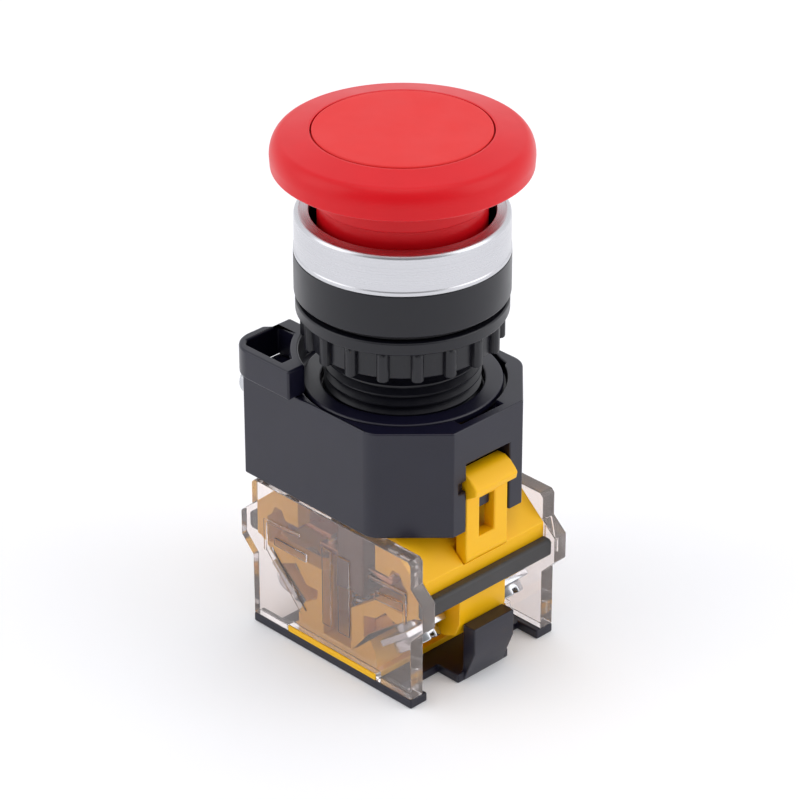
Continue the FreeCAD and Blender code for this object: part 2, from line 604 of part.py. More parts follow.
def make_lever():
    """Lock lever: a ring round the neck, and a loop handle over the adapter's corner."""
    ring_low = f"({HOUSING_TOP} - recess_depth + lever_play)"
    ring_top = f"({HOUSING_TOP} - lever_play / 2)"
    loop_low = f"({HOUSING_TOP} + lever_play)"
    loop_top = f"({loop_low} + loop_height)"
    ring = cut("LeverRing", rod("LeverDisc", "ring_outer", ring_low, ring_top),
               rod("LeverBore", "ring_inner", f"{ring_low} - tool_room", f"{ring_top} + tool_room"))
    handle = prism("LeverHandle", "XY_Plane", [
        ("-loop_left", "-loop_front + loop_bevel"),
        ("-loop_left + loop_bevel", "-loop_front"),
        ("-loop_reach", "-loop_front"),
        ("-loop_reach", "-loop_reach"),
        ("-loop_left + loop_nick", "-loop_reach"),
        ("-loop_left + loop_nick", "-loop_reach - nick_length"),
        ("-loop_left", "-loop_reach - nick_length - loop_nick"),
    ], loop_low, loop_top)
    clear = rod("LeverClear", "loop_inner", f"{loop_low} - tool_room", f"{loop_top} + tool_room")
    window = prism("LeverWindow", "XY_Plane", [
        ("-loop_left + loop_bar", "-loop_front + loop_bar + loop_nick"),
        ("-loop_left + loop_bar + loop_nick", "-loop_front + loop_bar"),
        ("-loop_reach - loop_end", "-loop_front + loop_bar"),
        ("-loop_reach - loop_end", "-loop_reach - loop_end"),
        ("-loop_left + loop_bar", "-loop_reach - loop_end"),
    ], f"{loop_low} - tool_room", f"{loop_top} + tool_room")
    rib = rod("LeverRib", "loop_inner + loop_rib", f"{loop_low} - 2 * tool_room",
              f"{loop_top} + 2 * tool_room")
    frame = cut("LeverLoop", handle, clear, cut("LeverHole", window, rib))
    arm_low = turned_box("LeverArm", "ring_outer - arm_root", "arm_radius", "arm_width", ring_low, ring_top)
    arm_high = turned_box("LeverRiser", "loop_inner + arm_skin", "arm_radius", "arm_width",
                          f"{ring_top} - riser_root", f"{loop_low} + riser_lap")
    keep("lock_lever", join("LockLever", ring, frame, arm_low, arm_high))


def turned_box(name, near, far, width, low, high):
    """A box that reaches out from the axis towards the lever's corner, between two levels."""
    item = box(name, (near, f"-{width} / 2", low), (far, f"{width} / 2", high))
    corner = FreeCAD.Rotation(FreeCAD.Vector(0, 0, 1), LEVER_ANGLE)
    away = corner.multVec(FreeCAD.Vector(1, 0, 0))
    aside = corner.multVec(FreeCAD.Vector(0, -1, 0))
    item.Placement.Rotation = corner
    bind(item, "Placement.Base.x", f"({away.x}) * ({near}) + ({aside.x}) * {width} / 2")
    bind(item, "Placement.Base.y", f"({away.y}) * ({near}) + ({aside.y}) * {width} / 2")
    return item


# ---------------------------------------------------------------- contact block

def flank_point(along, out):
    """A point on a terminal flank: a distance up the slope and a distance out from it."""
    across = f"flank_x + {FLANK_RUN} * ({along}) + {FLANK_FALL} * ({out})"
    up = f"{UNDER} - flank_drop + {FLANK_FALL} * ({along}) - {FLANK_RUN} * ({out})"
    return across, up


def flank_height(across, out):
    """The height at which a line a distance out from the flank stands at a distance across."""
    return (f"({UNDER} - flank_drop + {FLANK_FALL / FLANK_RUN} * (({across}) - flank_x)"
            f" - ({out}) / {FLANK_RUN})")


def make_block():
    """Yellow contact block body: a web between two open pockets, sloping flanks and end piers."""
    block_top = f"({UNDER} + shoulder_rise)"
    right = [
        ("shoulder_half", UNDER),
        ("block_half_x", f"{UNDER} - slope_drop"),
        ("block_half_x", f"{UNDER} - side_drop"),
        flank_point("flank_up", "0"),
        flank_point("-flank_down", "0"),
        ("foot_half", f"{BLOCK_LOW} + flange_thick + foot_rise"),
        ("foot_half", f"{BLOCK_LOW} + flange_thick"),
        ("foot_flange", f"{BLOCK_LOW} + flange_thick"),
        ("foot_flange", BLOCK_LOW),
    ]
    left = flip(-1, right)[::-1]
    outline = prism("BlockOutline", "XZ_Plane", right + left, "-block_half_y", "block_half_y")
    shoulder = box("Shoulder", ("-shoulder_half", f"-{SHOULDER_HALF_Y}", f"{UNDER} - tool_room"),
                   ("shoulder_half", SHOULDER_HALF_Y, block_top))
    pieces = [outline, shoulder]
    for side, word in ((1, "Right"), (-1, "Left")):
        pier = [
            ("foot_half - root", f"{UNDER} - side_drop"),
            ("pier_reach", f"{UNDER} - side_drop"),
            ("pier_reach", f"{UNDER} - pier_drop + pier_turn"),
            ("pier_reach - pier_nick", f"{UNDER} - pier_drop + pier_nick"),
            ("pier_reach - pier_turn", f"{UNDER} - pier_drop"),
            ("foot_half - root", f"{UNDER} - pier_drop"),
        ]
        pieces.append(prism(f"Pier{word}", "XZ_Plane", flip(side, pier), "-pier_half", "pier_half"))
    for sign, word in ((-1, "Front"), (1, "Rear")):
        low, high = span(sign, "block_half_y - root", "block_half_y + cover_thick")
        pieces.append(box(f"Lip{word}", ("-foot_flange", low, BLOCK_LOW),
                          ("foot_flange", high, f"{BLOCK_LOW} + flange_thick")))
    floor = f"({BLOCK_LOW} + floor_thick)"
    pocket_right = [
        ("pocket_top", f"{UNDER} - block_wall"),
        ("pocket_half", f"{UNDER} - slope_drop - slope_wall"),
        ("pocket_half", f"{UNDER} - side_drop + side_wall"),
        flank_point("pocket_up", "-block_wall"),
        flank_point("-pocket_down", "-block_wall"),
        ("pocket_waist", floor),
    ]
    pocket = pocket_right + flip(-1, pocket_right)[::-1]
    tools = [
        prism("PocketRear", "XZ_Plane", pocket, "web_half", "block_half_y + tool_room"),
        prism("PocketFront", "XZ_Plane", pocket, "-block_half_y + face_thick", "-web_half"),
        *face_openings(floor),
    ]
    for sign, word in ((-1, "Front"), (1, "Rear")):
        low, high = span(sign, "rod_inner - carrier_play", "rod_outer + carrier_play")
        tools.append(box(f"RodHole{word}",
                         ("-rod_half_x - carrier_play", low, f"{UNDER} - block_wall - tool_room"),
                         ("rod_half_x + carrier_play", high, f"{block_top} + tool_room")))
        low, high = span(sign, "contact_y - strip_half_y - fit_gap", "contact_y + strip_half_y + fit_gap")
        for side, hand in ((1, "Right"), (-1, "Left")):
            if sign > 0:
                near, far = span(side, "pocket_waist + hole_start", "flank_x - weld")
                hole_low, hole_high = f"{STRIP_TOP} - strip_thick - fit_gap", f"{STRIP_TOP} + fit_gap"
            else:
                near, far = span(side, "strip_riser - fit_gap", "strip_riser + strip_thick + fit_gap")
                hole_low, hole_high = f"{UNDER} - flank_drop", f"{UNDER} - side_drop + tool_room"
            tools.append(box(f"StripHole{word}{hand}", (near, low, hole_low), (far, high, hole_high)))
            tools.append(slanted_rod(f"ScrewWell{word}{hand}", "terminal_screw + well_play",
                                     "-terminal_shank", "tool_room", side, sign))
    for side, word in ((1, "Right"), (-1, "Left")):
        eye = across_rod(f"EyeSeat{word}", "latch_eye + latch_play", side)
        tools.append(eye)
        near, far = span(side, "latch_inner - latch_back", "block_half_x + weld")
        tools.append(box(f"LatchRoom{word}",
                         (near, "-latch_half - latch_side", f"{UNDER} - latch_pivot_drop"),
                         (far, "latch_half + latch_side", f"{UNDER} + tool_room")))
    keep("contact_block_body", cut("BlockBody", join("BlockRaw", *pieces), *tools))


def face_openings(floor):
    """Openings of the front face: one wide window with two nicks, and a notch beside each terminal."""
    neck_low = f"({UNDER} - face_top)"
    band_low = f"({UNDER} - face_low)"
    shoulder = [
        ("face_neck", f"{UNDER} - block_wall"),
        ("face_neck", neck_low),
        ("nick_in", neck_low),
        ("nick_in + nick_slope", f"{neck_low} + nick_rise"),
        ("nick_out - nick_slope", f"{neck_low} + nick_rise"),
        ("nick_out", neck_low),
        ("pocket_half", f"{neck_low} - nick_slope"),
        ("pocket_half", band_low),
    ]
    window = shoulder + [
        ("face_ramp", band_low),
        ("face_gap", f"{UNDER} - face_fall"),
        ("face_gap", floor),
        ("-face_gap", floor),
        ("-face_gap", band_low),
    ] + flip(-1, shoulder)[::-1]
    shapes = [("FaceWindow", window)]
    for side, word in ((1, "Right"), (-1, "Left")):
        notch = [flank_point(f"-{along}", f"-{depth}") for along, depth in NOTCHES[word]]
        shapes.append((f"Notch{word}", flip(side, notch)))
    return [prism(name, "XZ_Plane", corners, "-block_half_y - tool_room", "-block_half_y + face_thick + weld")
            for name, corners in shapes]


def across_rod(name, radius, side, margin="latch_side"):
    """A cylinder along Y on a latch's pivot line, wider than the latch by the margin at each end."""
    item = doc.addObject("Part::Cylinder", name)
    half = f"(latch_half + {margin})"
    bind(item, "Radius", radius)
    bind(item, "Height", f"2 * {half}")
    item.Placement.Rotation = FreeCAD.Rotation(FreeCAD.Vector(1, 0, 0), 90)
    bind(item, "Placement.Base.x", f"{side} * latch_pivot_x")
    bind(item, "Placement.Base.y", half)
    bind(item, "Placement.Base.z", f"{UNDER} - latch_pivot_drop")
    return item


def slanted_rod(name, radius, low, high, side, sign):
    """A cylinder along a terminal screw's axis, from low to high out of the flank."""
    item = doc.addObject("Part::Cylinder", name)
    across, up = flank_point("-terminal_back", low)
    bind(item, "Radius", radius)
    bind(item, "Height", f"({high}) - ({low})")
    axis = FreeCAD.Vector(side * FLANK_FALL, 0, -FLANK_RUN)
    item.Placement.Rotation = FreeCAD.Rotation(FreeCAD.Vector(0, 0, 1), axis)
    bind(item, "Placement.Base.x", f"{side} * ({across})")
    bind(item, "Placement.Base.y", f"{sign} * terminal_y")
    bind(item, "Placement.Base.z", up)
    return item


def make_latches():
    """Two flexing latches with a round root, a window for the adapter's nub and an outturned hook."""
    pivot_z = f"({UNDER} - latch_pivot_drop)"
    top = f"({UNDER} + latch_top * inside_scale)"
    outer = "(latch_inner + latch_thick)"
    window_top = f"({HOUSING_TOP} - nub_drop * inside_scale + window_play)"
    for side, word in ((1, "right"), (-1, "left")):
        blade = prism(f"Blade_{word}", "XZ_Plane", flip(side, [
            ("latch_inner", pivot_z),
            (outer, f"{pivot_z} + latch_lift"),
            (outer, f"{top} - hook_height - hook_root"),
            ("hook_reach - hook_draft", f"{top} - hook_height - hook_under"),
            ("hook_reach", f"{top} - hook_height + hook_tip"),
            ("hook_reach - hook_bevel", f"{top} - hook_height + hook_rise"),
            (f"{outer} + hook_bevel", f"{top} - hook_bevel"),
            (f"{outer} - hook_under", top),
            ("latch_inner", top),
        ]), "-latch_half", "latch_half")
        low, high = span(side, "latch_inner - tool_room", "hook_reach + tool_room")
        window = box(f"Window_{word}", (low, "-window_half", f"{window_top} - window_height * inside_scale"),
                     (high, "window_half", window_top))
        eye = across_rod(f"Eye_{word}", "latch_eye", side, "0")
        keep(f"latch_{word}", cut(f"Latch_{word}", join(f"LatchRaw_{word}", blade, eye), window))


def make_shrouds():
    """Dark bars along the ends of the block, over the terminals."""
    for side, word in ((1, "right"), (-1, "left")):
        top = f"({UNDER} - shroud_top)"
        low = f"({top} - shroud_height)"
        keep(f"terminal_shroud_{word}", prism(f"Shroud_{word}", "XZ_Plane", flip(side, [
            ("block_half_x", top),
            ("block_half_x + shroud_depth - shroud_bevel", top),
            ("block_half_x + shroud_depth", f"{top} - shroud_bevel"),
            ("block_half_x + shroud_depth", f"{low} + shroud_bevel"),
            ("block_half_x + shroud_depth - shroud_bevel", low),
            ("block_half_x", low),
        ]), "-block_half_y", "block_half_y"))


def make_covers():
    """Clear side plates with ears over the shrouds' ends and a notch for the block's lip."""
    right = [
        ("cover_half_x - cover_bevel", f"{UNDER} - cover_drop"),
        ("cover_half_x", f"{UNDER} - cover_drop - cover_bevel"),
        ("cover_half_x", f"{UNDER} - ear_top"),
        ("ear_reach", f"{UNDER} - ear_high"),
        ("ear_reach", f"{UNDER} - ear_low"),
        ("cover_half_x", f"{UNDER} - ear_bottom"),
        ("cover_half_x", BLOCK_LOW),
        ("foot_flange + fit_gap", BLOCK_LOW),
        ("foot_flange + fit_gap", f"{BLOCK_LOW} + flange_thick + fit_gap"),
    ]
    outline = right + flip(-1, right)[::-1]
    for sign, word in ((-1, "front"), (1, "rear")):
        low, high = span(sign, "block_half_y", "block_half_y + cover_thick")
        keep(f"cover_{word}", prism(f"Cover_{word}", "XZ_Plane", outline, low, high))


def make_base():
    """Black base: a floor plate, a rail under each cover and a catch at each end."""
    full_y = "(block_half_y + cover_thick)"
    pieces = [box("BaseFloor", ("-base_half_x", f"-{full_y}", BASE_LOW), ("base_half_x", full_y, BLOCK_LOW))]
    for sign, word in ((-1, "Front"), (1, "Rear")):
        low, high = span(sign, f"{full_y} - rail_half_y", full_y)
        pieces.append(box(f"BaseRail{word}", ("-cover_half_x", low, BASE_LOW),
                          ("cover_half_x", high, BLOCK_LOW)))
    for side, word in ((1, "Right"), (-1, "Left")):
        catch_top = f"({BASE_LOW} + catch_height)"
        catch_back = "(pier_reach + fit_gap)"
        pieces.append(prism(f"Catch{word}", "XZ_Plane", flip(side, [
            (catch_back, catch_top),
            ("catch_reach", catch_top),
            ("catch_reach", f"{BASE_LOW} + catch_knee"),
            ("catch_foot", BASE_LOW),
            ("base_half_x - root", BASE_LOW),
            ("base_half_x - root", BLOCK_LOW),
            ("catch_foot - foot_step", BLOCK_LOW),
            (catch_back, f"{BLOCK_LOW} + catch_lap"),
        ]), "-catch_half", "catch_half"))
        for sign, edge in ((-1, "Near"), (1, "Far")):
            low, high = span(sign, "catch_half - weld", "catch_half + foot_flare")
            near, far = span(side, "base_half_x - root", "catch_foot")
            pieces.append(box(f"CatchFoot{word}{edge}", (near, low, BASE_LOW), (far, high, BLOCK_LOW)))
    keep("base_plate", join("Base", *pieces))


# ---------------------------------------------------------------- contacts and terminals

def make_contacts():
    """Both contact sets: carrier, bridge, tips, springs, fixed strips, clamp plates and screws."""
    screws = []
    for kind, sign in (("no", 1), ("nc", -1)):
        make_carrier(kind, sign)
        for side, word in ((1, "right"), (-1, "left")):
            make_strip(kind, sign, side, word)
            screws.append(make_terminal(kind, sign, side, word))
    keep("terminal_screws", join("TerminalScrews", *screws))


def make_carrier(kind, sign):
    """A carrier that the stem pushes down, with its bridge, contact tips and two springs."""
    closes_down = kind == "no"
    centre = f"({sign} * contact_y)"
    bridge_top = BRIDGE_TOP[kind]
    bridge_low = f"({bridge_top} - bridge_thick)"
    if closes_down:
        window_low = bridge_low
        window_high = f"({bridge_top} + no_spring)"
    else:
        window_low = f"({bridge_low} - nc_spring)"
        window_high = bridge_top
    block_top = f"({UNDER} - block_wall - carrier_room)"
    block_low = f"({UNDER} - carrier_{kind}_low)"
    front, back = span(sign, "contact_y - carrier_half_y", "contact_y + carrier_half_y")
    block = box(f"CarrierBlock_{kind}", ("-carrier_half_x", front, block_low),
                ("carrier_half_x", back, block_top))
    front, back = span(sign, "rod_inner", "rod_outer")
    push_rod = box(f"CarrierRod_{kind}", ("-rod_half_x", front, f"{block_top} - weld"),
                   ("rod_half_x", back, f"{STEM_LOW} - slide_play"))
    low, high = span(sign, "contact_y - bridge_half_y - fit_gap", "contact_y + bridge_half_y + fit_gap")
    window = box(f"CarrierWindow_{kind}", ("-carrier_half_x - tool_room", low, window_low),
                 ("carrier_half_x + tool_room", high, window_high))
    keep(f"carrier_{kind}", cut(f"Carrier_{kind}", join(f"CarrierRaw_{kind}", block, push_rod), window))
    low, high = span(sign, "contact_y - bridge_half_y", "contact_y + bridge_half_y")
    keep(f"bridge_{kind}", box(f"Bridge_{kind}", ("-bridge_half", low, bridge_low),
                               ("bridge_half", high, bridge_top)))
    tip_low, tip_high = (f"{bridge_low} - tip_thick", bridge_low) if closes_down \
        else (bridge_top, f"{bridge_top} + tip_thick")
    tips = [rod(f"MovingTip_{kind}{side}", "tip_radius", tip_low, tip_high, (f"{side} * tip_x", centre))
            for side in (1, -1)]
    keep(f"moving_tips_{kind}", join(f"MovingTips_{kind}", *tips))
    if closes_down:
        spring_low, spring_high = bridge_top, window_high
    else:
        spring_low, spring_high = window_low, bridge_low
    keep(f"bridge_spring_{kind}", coil(f"BridgeSpring_{kind}", "bridge_coil", "bridge_wire", "bridge_turns",
                                       spring_low, spring_high, centre))
    keep(f"carrier_spring_{kind}", coil(f"CarrierSpring_{kind}", "return_coil", "return_wire",
                                        "return_turns", f"{BLOCK_LOW} + floor_thick", block_low, centre))


def make_strip(kind, sign, side, word):
    """A fixed contact: a strip on the flank that passes into the pocket, with its silver tip."""
    foot = [flank_point("-strip_run", "0"), flank_point("-strip_run", "strip_thick")]
    if kind == "no":
        top = STRIP_TOP
        low = f"({top} - strip_thick)"
        outline = [
            ("strip_end", low),
            (flank_point("-strip_bend", "0")[0], low),
            *foot,
            flank_point("-strip_start", "strip_thick"),
            flank_point("-strip_start", "0"),
            ("flank_x - strip_thick", top),
            ("strip_end", top),
        ]
        tip_low, tip_high = top, f"{top} + tip_thick"
    else:
        tip_low = f"({BRIDGE_TOP[kind]} + tip_thick + tip_gap)"
        tip_high = f"({tip_low} + tip_thick)"
        outer = "(strip_riser + strip_thick)"
        outline = [
            *foot,
            (outer, flank_height(outer, "strip_thick")),
            (outer, f"{tip_high} + strip_thick"),
            ("strip_end", f"{tip_high} + strip_thick"),
            ("strip_end", tip_high),
            ("strip_riser", tip_high),
            ("strip_riser", flank_height("strip_riser", "0")),
        ]
    front, back = span(sign, "contact_y - strip_half_y", "contact_y + strip_half_y")
    strip = prism(f"Strip_{kind}_{word}", "XZ_Plane", flip(side, outline), front, back)
    hole = slanted_rod(f"StripScrew_{kind}_{word}", "terminal_screw", "-terminal_shank - tool_room",
                       "strip_thick + tool_room", side, sign)
    keep(f"fixed_contact_{kind}_{word}", cut(f"FixedContact_{kind}_{word}", strip, hole))
    keep(f"fixed_tip_{kind}_{word}", rod(f"FixedTip_{kind}_{word}", "tip_radius", tip_low, tip_high,
                                         (f"{side} * tip_x", f"({sign} * contact_y)")))


def make_terminal(kind, sign, side, word):
    """A square clamp plate over the strip, and the screw that draws it down."""
    under = "(strip_thick + wire_gap)"
    corners = [
        flank_point("-terminal_back - plate_half", under),
        flank_point("-terminal_back + plate_half", under),
        flank_point("-terminal_back + plate_half", f"{under} + plate_thick"),
        flank_point("-terminal_back - plate_half", f"{under} + plate_thick"),
    ]
    low, high = span(sign, "terminal_y - plate_half", "terminal_y + plate_half")
    plate = prism(f"Plate_{kind}_{word}", "XZ_Plane", flip(side, corners), low, high)
    bore = slanted_rod(f"PlateBore_{kind}_{word}", "terminal_screw + well_play", "0",
                       f"{under} + plate_thick + tool_room", side, sign)
    keep(f"clamp_plate_{kind}_{word}", cut(f"ClampPlate_{kind}_{word}", plate, bore))
    seat = f"({under} + plate_thick)"
    head = slanted_rod(f"Head_{kind}_{word}", "terminal_head", seat, f"{seat} + head_thick", side, sign)
    shank = slanted_rod(f"Shank_{kind}_{word}", "terminal_screw", "-terminal_shank + shank_room",
                        f"{seat} + weld", side, sign)
    slot_low = f"{seat} + head_thick - driver_slot"
    slot_corners = [
        flank_point("-terminal_back - terminal_head - tool_room", slot_low),
        flank_point("-terminal_back + terminal_head + tool_room", slot_low),
        flank_point("-terminal_back + terminal_head + tool_room", f"{slot_low} + 2 * tool_room"),
        flank_point("-terminal_back - terminal_head - tool_room", f"{slot_low} + 2 * tool_room"),
    ]
    slot = prism(f"Slot_{kind}_{word}", "XZ_Plane", flip(side, slot_corners),
                 f"({sign} * terminal_y) - driver_slot / 2", f"({sign} * terminal_y) + driver_slot / 2")
    return cut(f"Screw_{kind}_{word}", join(f"ScrewRaw_{kind}_{word}", head, shank), slot)


make_cap()
make_stem()
make_head()
make_nut()
make_housing()
make_lever()
make_block()
make_latches()
make_shrouds()
make_covers()
make_base()
make_contacts()
doc.recompute()

# ---------------------------------------------------------------- checks and export

for item in doc.Objects:
    if "Invalid" in item.State or "Error" in item.State:
        raise RuntimeError(f"{item.Label} failed: {item.State}")
for node, item in NODES.items():
    if item.Shape.isNull() or not item.Shape.isValid():
        raise RuntimeError(f"{node} has no valid shape")

os.makedirs("parts", exist_ok=True)
for node, item in NODES.items():
    item.Shape.exportStep(f"parts/{node}.step")
print(len(NODES), "sub-parts written")
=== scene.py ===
# %% [markdown]
# # A mushroom push button for a 22 mm panel hole
#
# The object is a red mushroom cap on a metal-rimmed head, a round nut below it, a black adapter with a
# lock lever, and a yellow contact block between two clear covers. The CAD model gives every piece its
# place and size. This lesson gives the pieces their finished surfaces: turned pieces are drawn as an
# outline and spun, moulded pieces get softened edges, and each material is mixed from procedural nodes.

# %% Load the frame
import bpy
import json
import math
from mathutils import Matrix, Vector


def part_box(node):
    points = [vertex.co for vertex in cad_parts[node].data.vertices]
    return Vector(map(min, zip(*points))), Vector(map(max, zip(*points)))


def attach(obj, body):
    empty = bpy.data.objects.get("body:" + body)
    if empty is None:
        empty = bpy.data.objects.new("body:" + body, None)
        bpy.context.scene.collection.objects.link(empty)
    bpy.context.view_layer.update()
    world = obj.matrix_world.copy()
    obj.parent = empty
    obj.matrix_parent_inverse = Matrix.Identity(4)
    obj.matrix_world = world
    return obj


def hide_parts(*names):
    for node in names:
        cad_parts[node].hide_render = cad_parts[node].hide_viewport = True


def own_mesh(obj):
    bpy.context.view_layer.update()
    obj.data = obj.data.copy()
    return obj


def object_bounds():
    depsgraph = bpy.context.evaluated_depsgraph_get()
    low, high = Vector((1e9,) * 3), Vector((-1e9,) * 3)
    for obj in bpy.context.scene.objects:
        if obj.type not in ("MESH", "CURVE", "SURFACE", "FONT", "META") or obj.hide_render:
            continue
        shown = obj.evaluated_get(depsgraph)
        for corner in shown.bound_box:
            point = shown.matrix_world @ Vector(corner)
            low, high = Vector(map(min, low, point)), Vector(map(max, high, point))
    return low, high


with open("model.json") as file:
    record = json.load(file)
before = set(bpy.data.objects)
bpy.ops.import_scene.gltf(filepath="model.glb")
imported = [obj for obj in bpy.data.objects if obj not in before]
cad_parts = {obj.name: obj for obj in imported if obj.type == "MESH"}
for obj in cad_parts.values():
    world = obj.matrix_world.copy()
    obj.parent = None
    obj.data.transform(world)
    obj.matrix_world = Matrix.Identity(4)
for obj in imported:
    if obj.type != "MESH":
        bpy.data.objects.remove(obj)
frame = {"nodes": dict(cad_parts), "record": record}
cad_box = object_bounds()
print("CAD box", [[round(value * 1000, 2) for value in corner] for corner in cad_box])

# %% [markdown]
# ## Working in millimetres
#
# The frame is in metres, and merge distances, Boolean tolerances and bevel widths all behave better on
# numbers near one. So each piece is modelled in millimetres and shrunk a thousandfold when it is
# finished. Places are read from the CAD nodes and turned to millimetres on the way in.

# %% Units and selection
MM = 0.001


def box_mm(node):
    """Lowest and highest corner of a CAD node, in millimetres."""
    low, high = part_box(node)
    return low / MM, high / MM


def deselect():
    """Leaves edit mode and selects nothing, so that the next operator touches only its own piece."""
    if bpy.context.object and bpy.context.object.mode != "OBJECT":
        bpy.ops.object.mode_set(mode="OBJECT")
    bpy.ops.object.select_all(action="DESELECT")


def pick(piece):
    """Makes the piece the only selected and active object."""
    deselect()
    piece.select_set(True)
    bpy.context.view_layer.objects.active = piece


under = box_mm("adapter_housing")[0].z
print("underside of the adapter at", round(under, 2), "mm")

# %% [markdown]
# ## Drawing an outline
#
# A lathe outline or the outline of a plate starts as one vertex: a small plane merged to its middle.
# The vertex is then extruded from corner to corner, as one would click round a drawing. Corners on
# moulded and turned pieces are never quite sharp, so `eased` swaps each corner that has a radius for
# a short arc first.

# %% Outline tools
MERGE = 0.0005


def eased(corners, steps=4):
    """Points of an outline whose corners are (across, up, radius); a radius of 0 leaves it sharp."""
    points = []
    for index, (across, up, radius) in enumerate(corners):
        here = Vector((across, up))
        if not radius:
            points.append(here)
            continue
        before = (Vector(corners[index - 1][:2]) - here).normalized()
        after = (Vector(corners[(index + 1) % len(corners)][:2]) - here).normalized()
        half = before.angle(after) / 2
        centre = here + (before + after).normalized() * radius / math.sin(half)
        start = here + before * radius / math.tan(half) - centre
        end = here + after * radius / math.tan(half) - centre
        for step in range(steps + 1):
            points.append(centre + start.lerp(end, step / steps).normalized() * radius)
    return points


def curve(centre, reach, start, end, steps=10):
    """Points on an ellipse's arc as sharp corners; reach is its half width and half height."""
    angles = [math.radians(start + (end - start) * step / steps) for step in range(steps + 1)]
    return [(centre[0] + reach[0] * math.cos(angle), centre[1] + reach[1] * math.sin(angle), 0)
            for angle in angles]


def draw(name, places):
    """A chain of vertices through the places, left in edit mode."""
    deselect()
    bpy.ops.mesh.primitive_plane_add(size=1, location=places[0])
    piece = bpy.context.object
    piece.name = name
    bpy.ops.object.mode_set(mode="EDIT")
    bpy.ops.mesh.select_mode(type="VERT")
    bpy.ops.mesh.select_all(action="SELECT")
    bpy.ops.mesh.merge(type="CENTER")
    for near, far in zip(places, places[1:]):
        step = Vector(far) - Vector(near)
        bpy.ops.mesh.extrude_region_move(TRANSFORM_OT_translate={"value": step})
    bpy.ops.mesh.select_all(action="SELECT")
    return piece


def tidy_shell():
    """Merges doubled vertices and turns every face outwards, then leaves edit mode."""
    bpy.ops.mesh.select_all(action="SELECT")
    bpy.ops.mesh.remove_doubles(threshold=MERGE)
    bpy.ops.mesh.normals_make_consistent(inside=False)
    bpy.ops.object.mode_set(mode="OBJECT")
    bpy.ops.object.transform_apply(location=True, rotation=True, scale=True)


def lathe(name, outline, steps=144):
    """Spins (radius, height) points round Z into a closed shell."""
    piece = draw(name, [(radius, 0, height) for radius, height in outline])
    bpy.ops.mesh.spin(steps=steps, angle=math.tau, center=(0, 0, 0), axis=(0, 0, 1))
    tidy_shell()
    return piece


def slab(name, places, thickness):
    """Fills a closed outline of places and extrudes it by the thickness, which is a vector."""
    piece = draw(name, [*places, places[0]])
    bpy.ops.mesh.remove_doubles(threshold=MERGE)
    bpy.ops.mesh.edge_face_add()
    bpy.ops.mesh.extrude_region_move(TRANSFORM_OT_translate={"value": thickness})
    tidy_shell()
    return piece


def plate(name, outline, low, high):
    """A slab from an outline of (x, z) points, standing between two depths in Y."""
    return slab(name, [(across, low, up) for across, up in outline], (0, high - low, 0))


def column(name, outline, low, high):
    """A slab from an outline of (x, y) points, lying between two heights."""
    return slab(name, [(across, deep, low) for across, deep in outline], (0, 0, high - low))


# %% [markdown]
# ## Softening a moulded piece
#
# A piece whose CAD shape is right still has knife edges, and real mouldings catch the light on a small
# round. A merged copy of the node's mesh gets a narrow bevel along its sharp edges. The copy is dissolved
# to whole flat faces first, because a bevel that runs into loose triangles leaves folds.

# %% Modifiers and softened copies
SHARP = math.radians(32)
FLAT = math.radians(1)
CAD_MERGE = 0.001


def apply(piece, kind, **settings):
    """Adds a modifier, sets it and applies it at once."""
    pick(piece)
    bpy.ops.object.modifier_add(type=kind)
    modifier = piece.modifiers[-1]
    for key, value in settings.items():
        setattr(modifier, key, value)
    bpy.ops.object.modifier_apply(modifier=modifier.name)


def soften(piece, width, segments):
    """Rounds every edge that turns by more than the sharp angle."""
    apply(piece, "BEVEL", width=width, segments=segments, limit_method="ANGLE",
          angle_limit=SHARP, use_clamp_overlap=False)


def softened(node, name, width=0.25, segments=2, shrink=(1, 1, 1)):
    """A merged copy of a CAD node in millimetres with rounded edges; shrink draws it in about its middle."""
    piece = bpy.data.objects.new(name, frame["nodes"][node].data.copy())
    bpy.context.collection.objects.link(piece)
    piece.data.transform(Matrix.Scale(1 / MM, 4))
    low, high = box_mm(node)
    pick(piece)
    bpy.ops.object.mode_set(mode="EDIT")
    bpy.ops.mesh.select_all(action="SELECT")
    bpy.ops.mesh.remove_doubles(threshold=CAD_MERGE)
    bpy.ops.mesh.dissolve_limited(angle_limit=FLAT)
    bpy.ops.transform.resize(value=shrink, center_override=(low + high) / 2)
    bpy.ops.mesh.normals_make_consistent(inside=False)
    bpy.ops.object.mode_set(mode="OBJECT")
    if width:
        soften(piece, width, segments)
    return piece


def carve(piece, tool, operation="DIFFERENCE"):
    """Cuts a tool away from the piece, or joins it on, and removes the tool."""
    apply(piece, "BOOLEAN", object=tool, operation=operation, solver="EXACT")
    bpy.data.objects.remove(tool)


# %% [markdown]
# ## Broad corners
#
# A corner that is broader than the edge softening is cut to an arc first. The tool is the sliver that
# lies outside the arc, so it meets the two sides only where the arc touches them. Its ends stand past the
# piece by a margin, and the hair-thin faces that the cut leaves beside the arc are merged away.

# %% Round an upright corner
MARGIN = 1
CUT_MERGE = 0.02


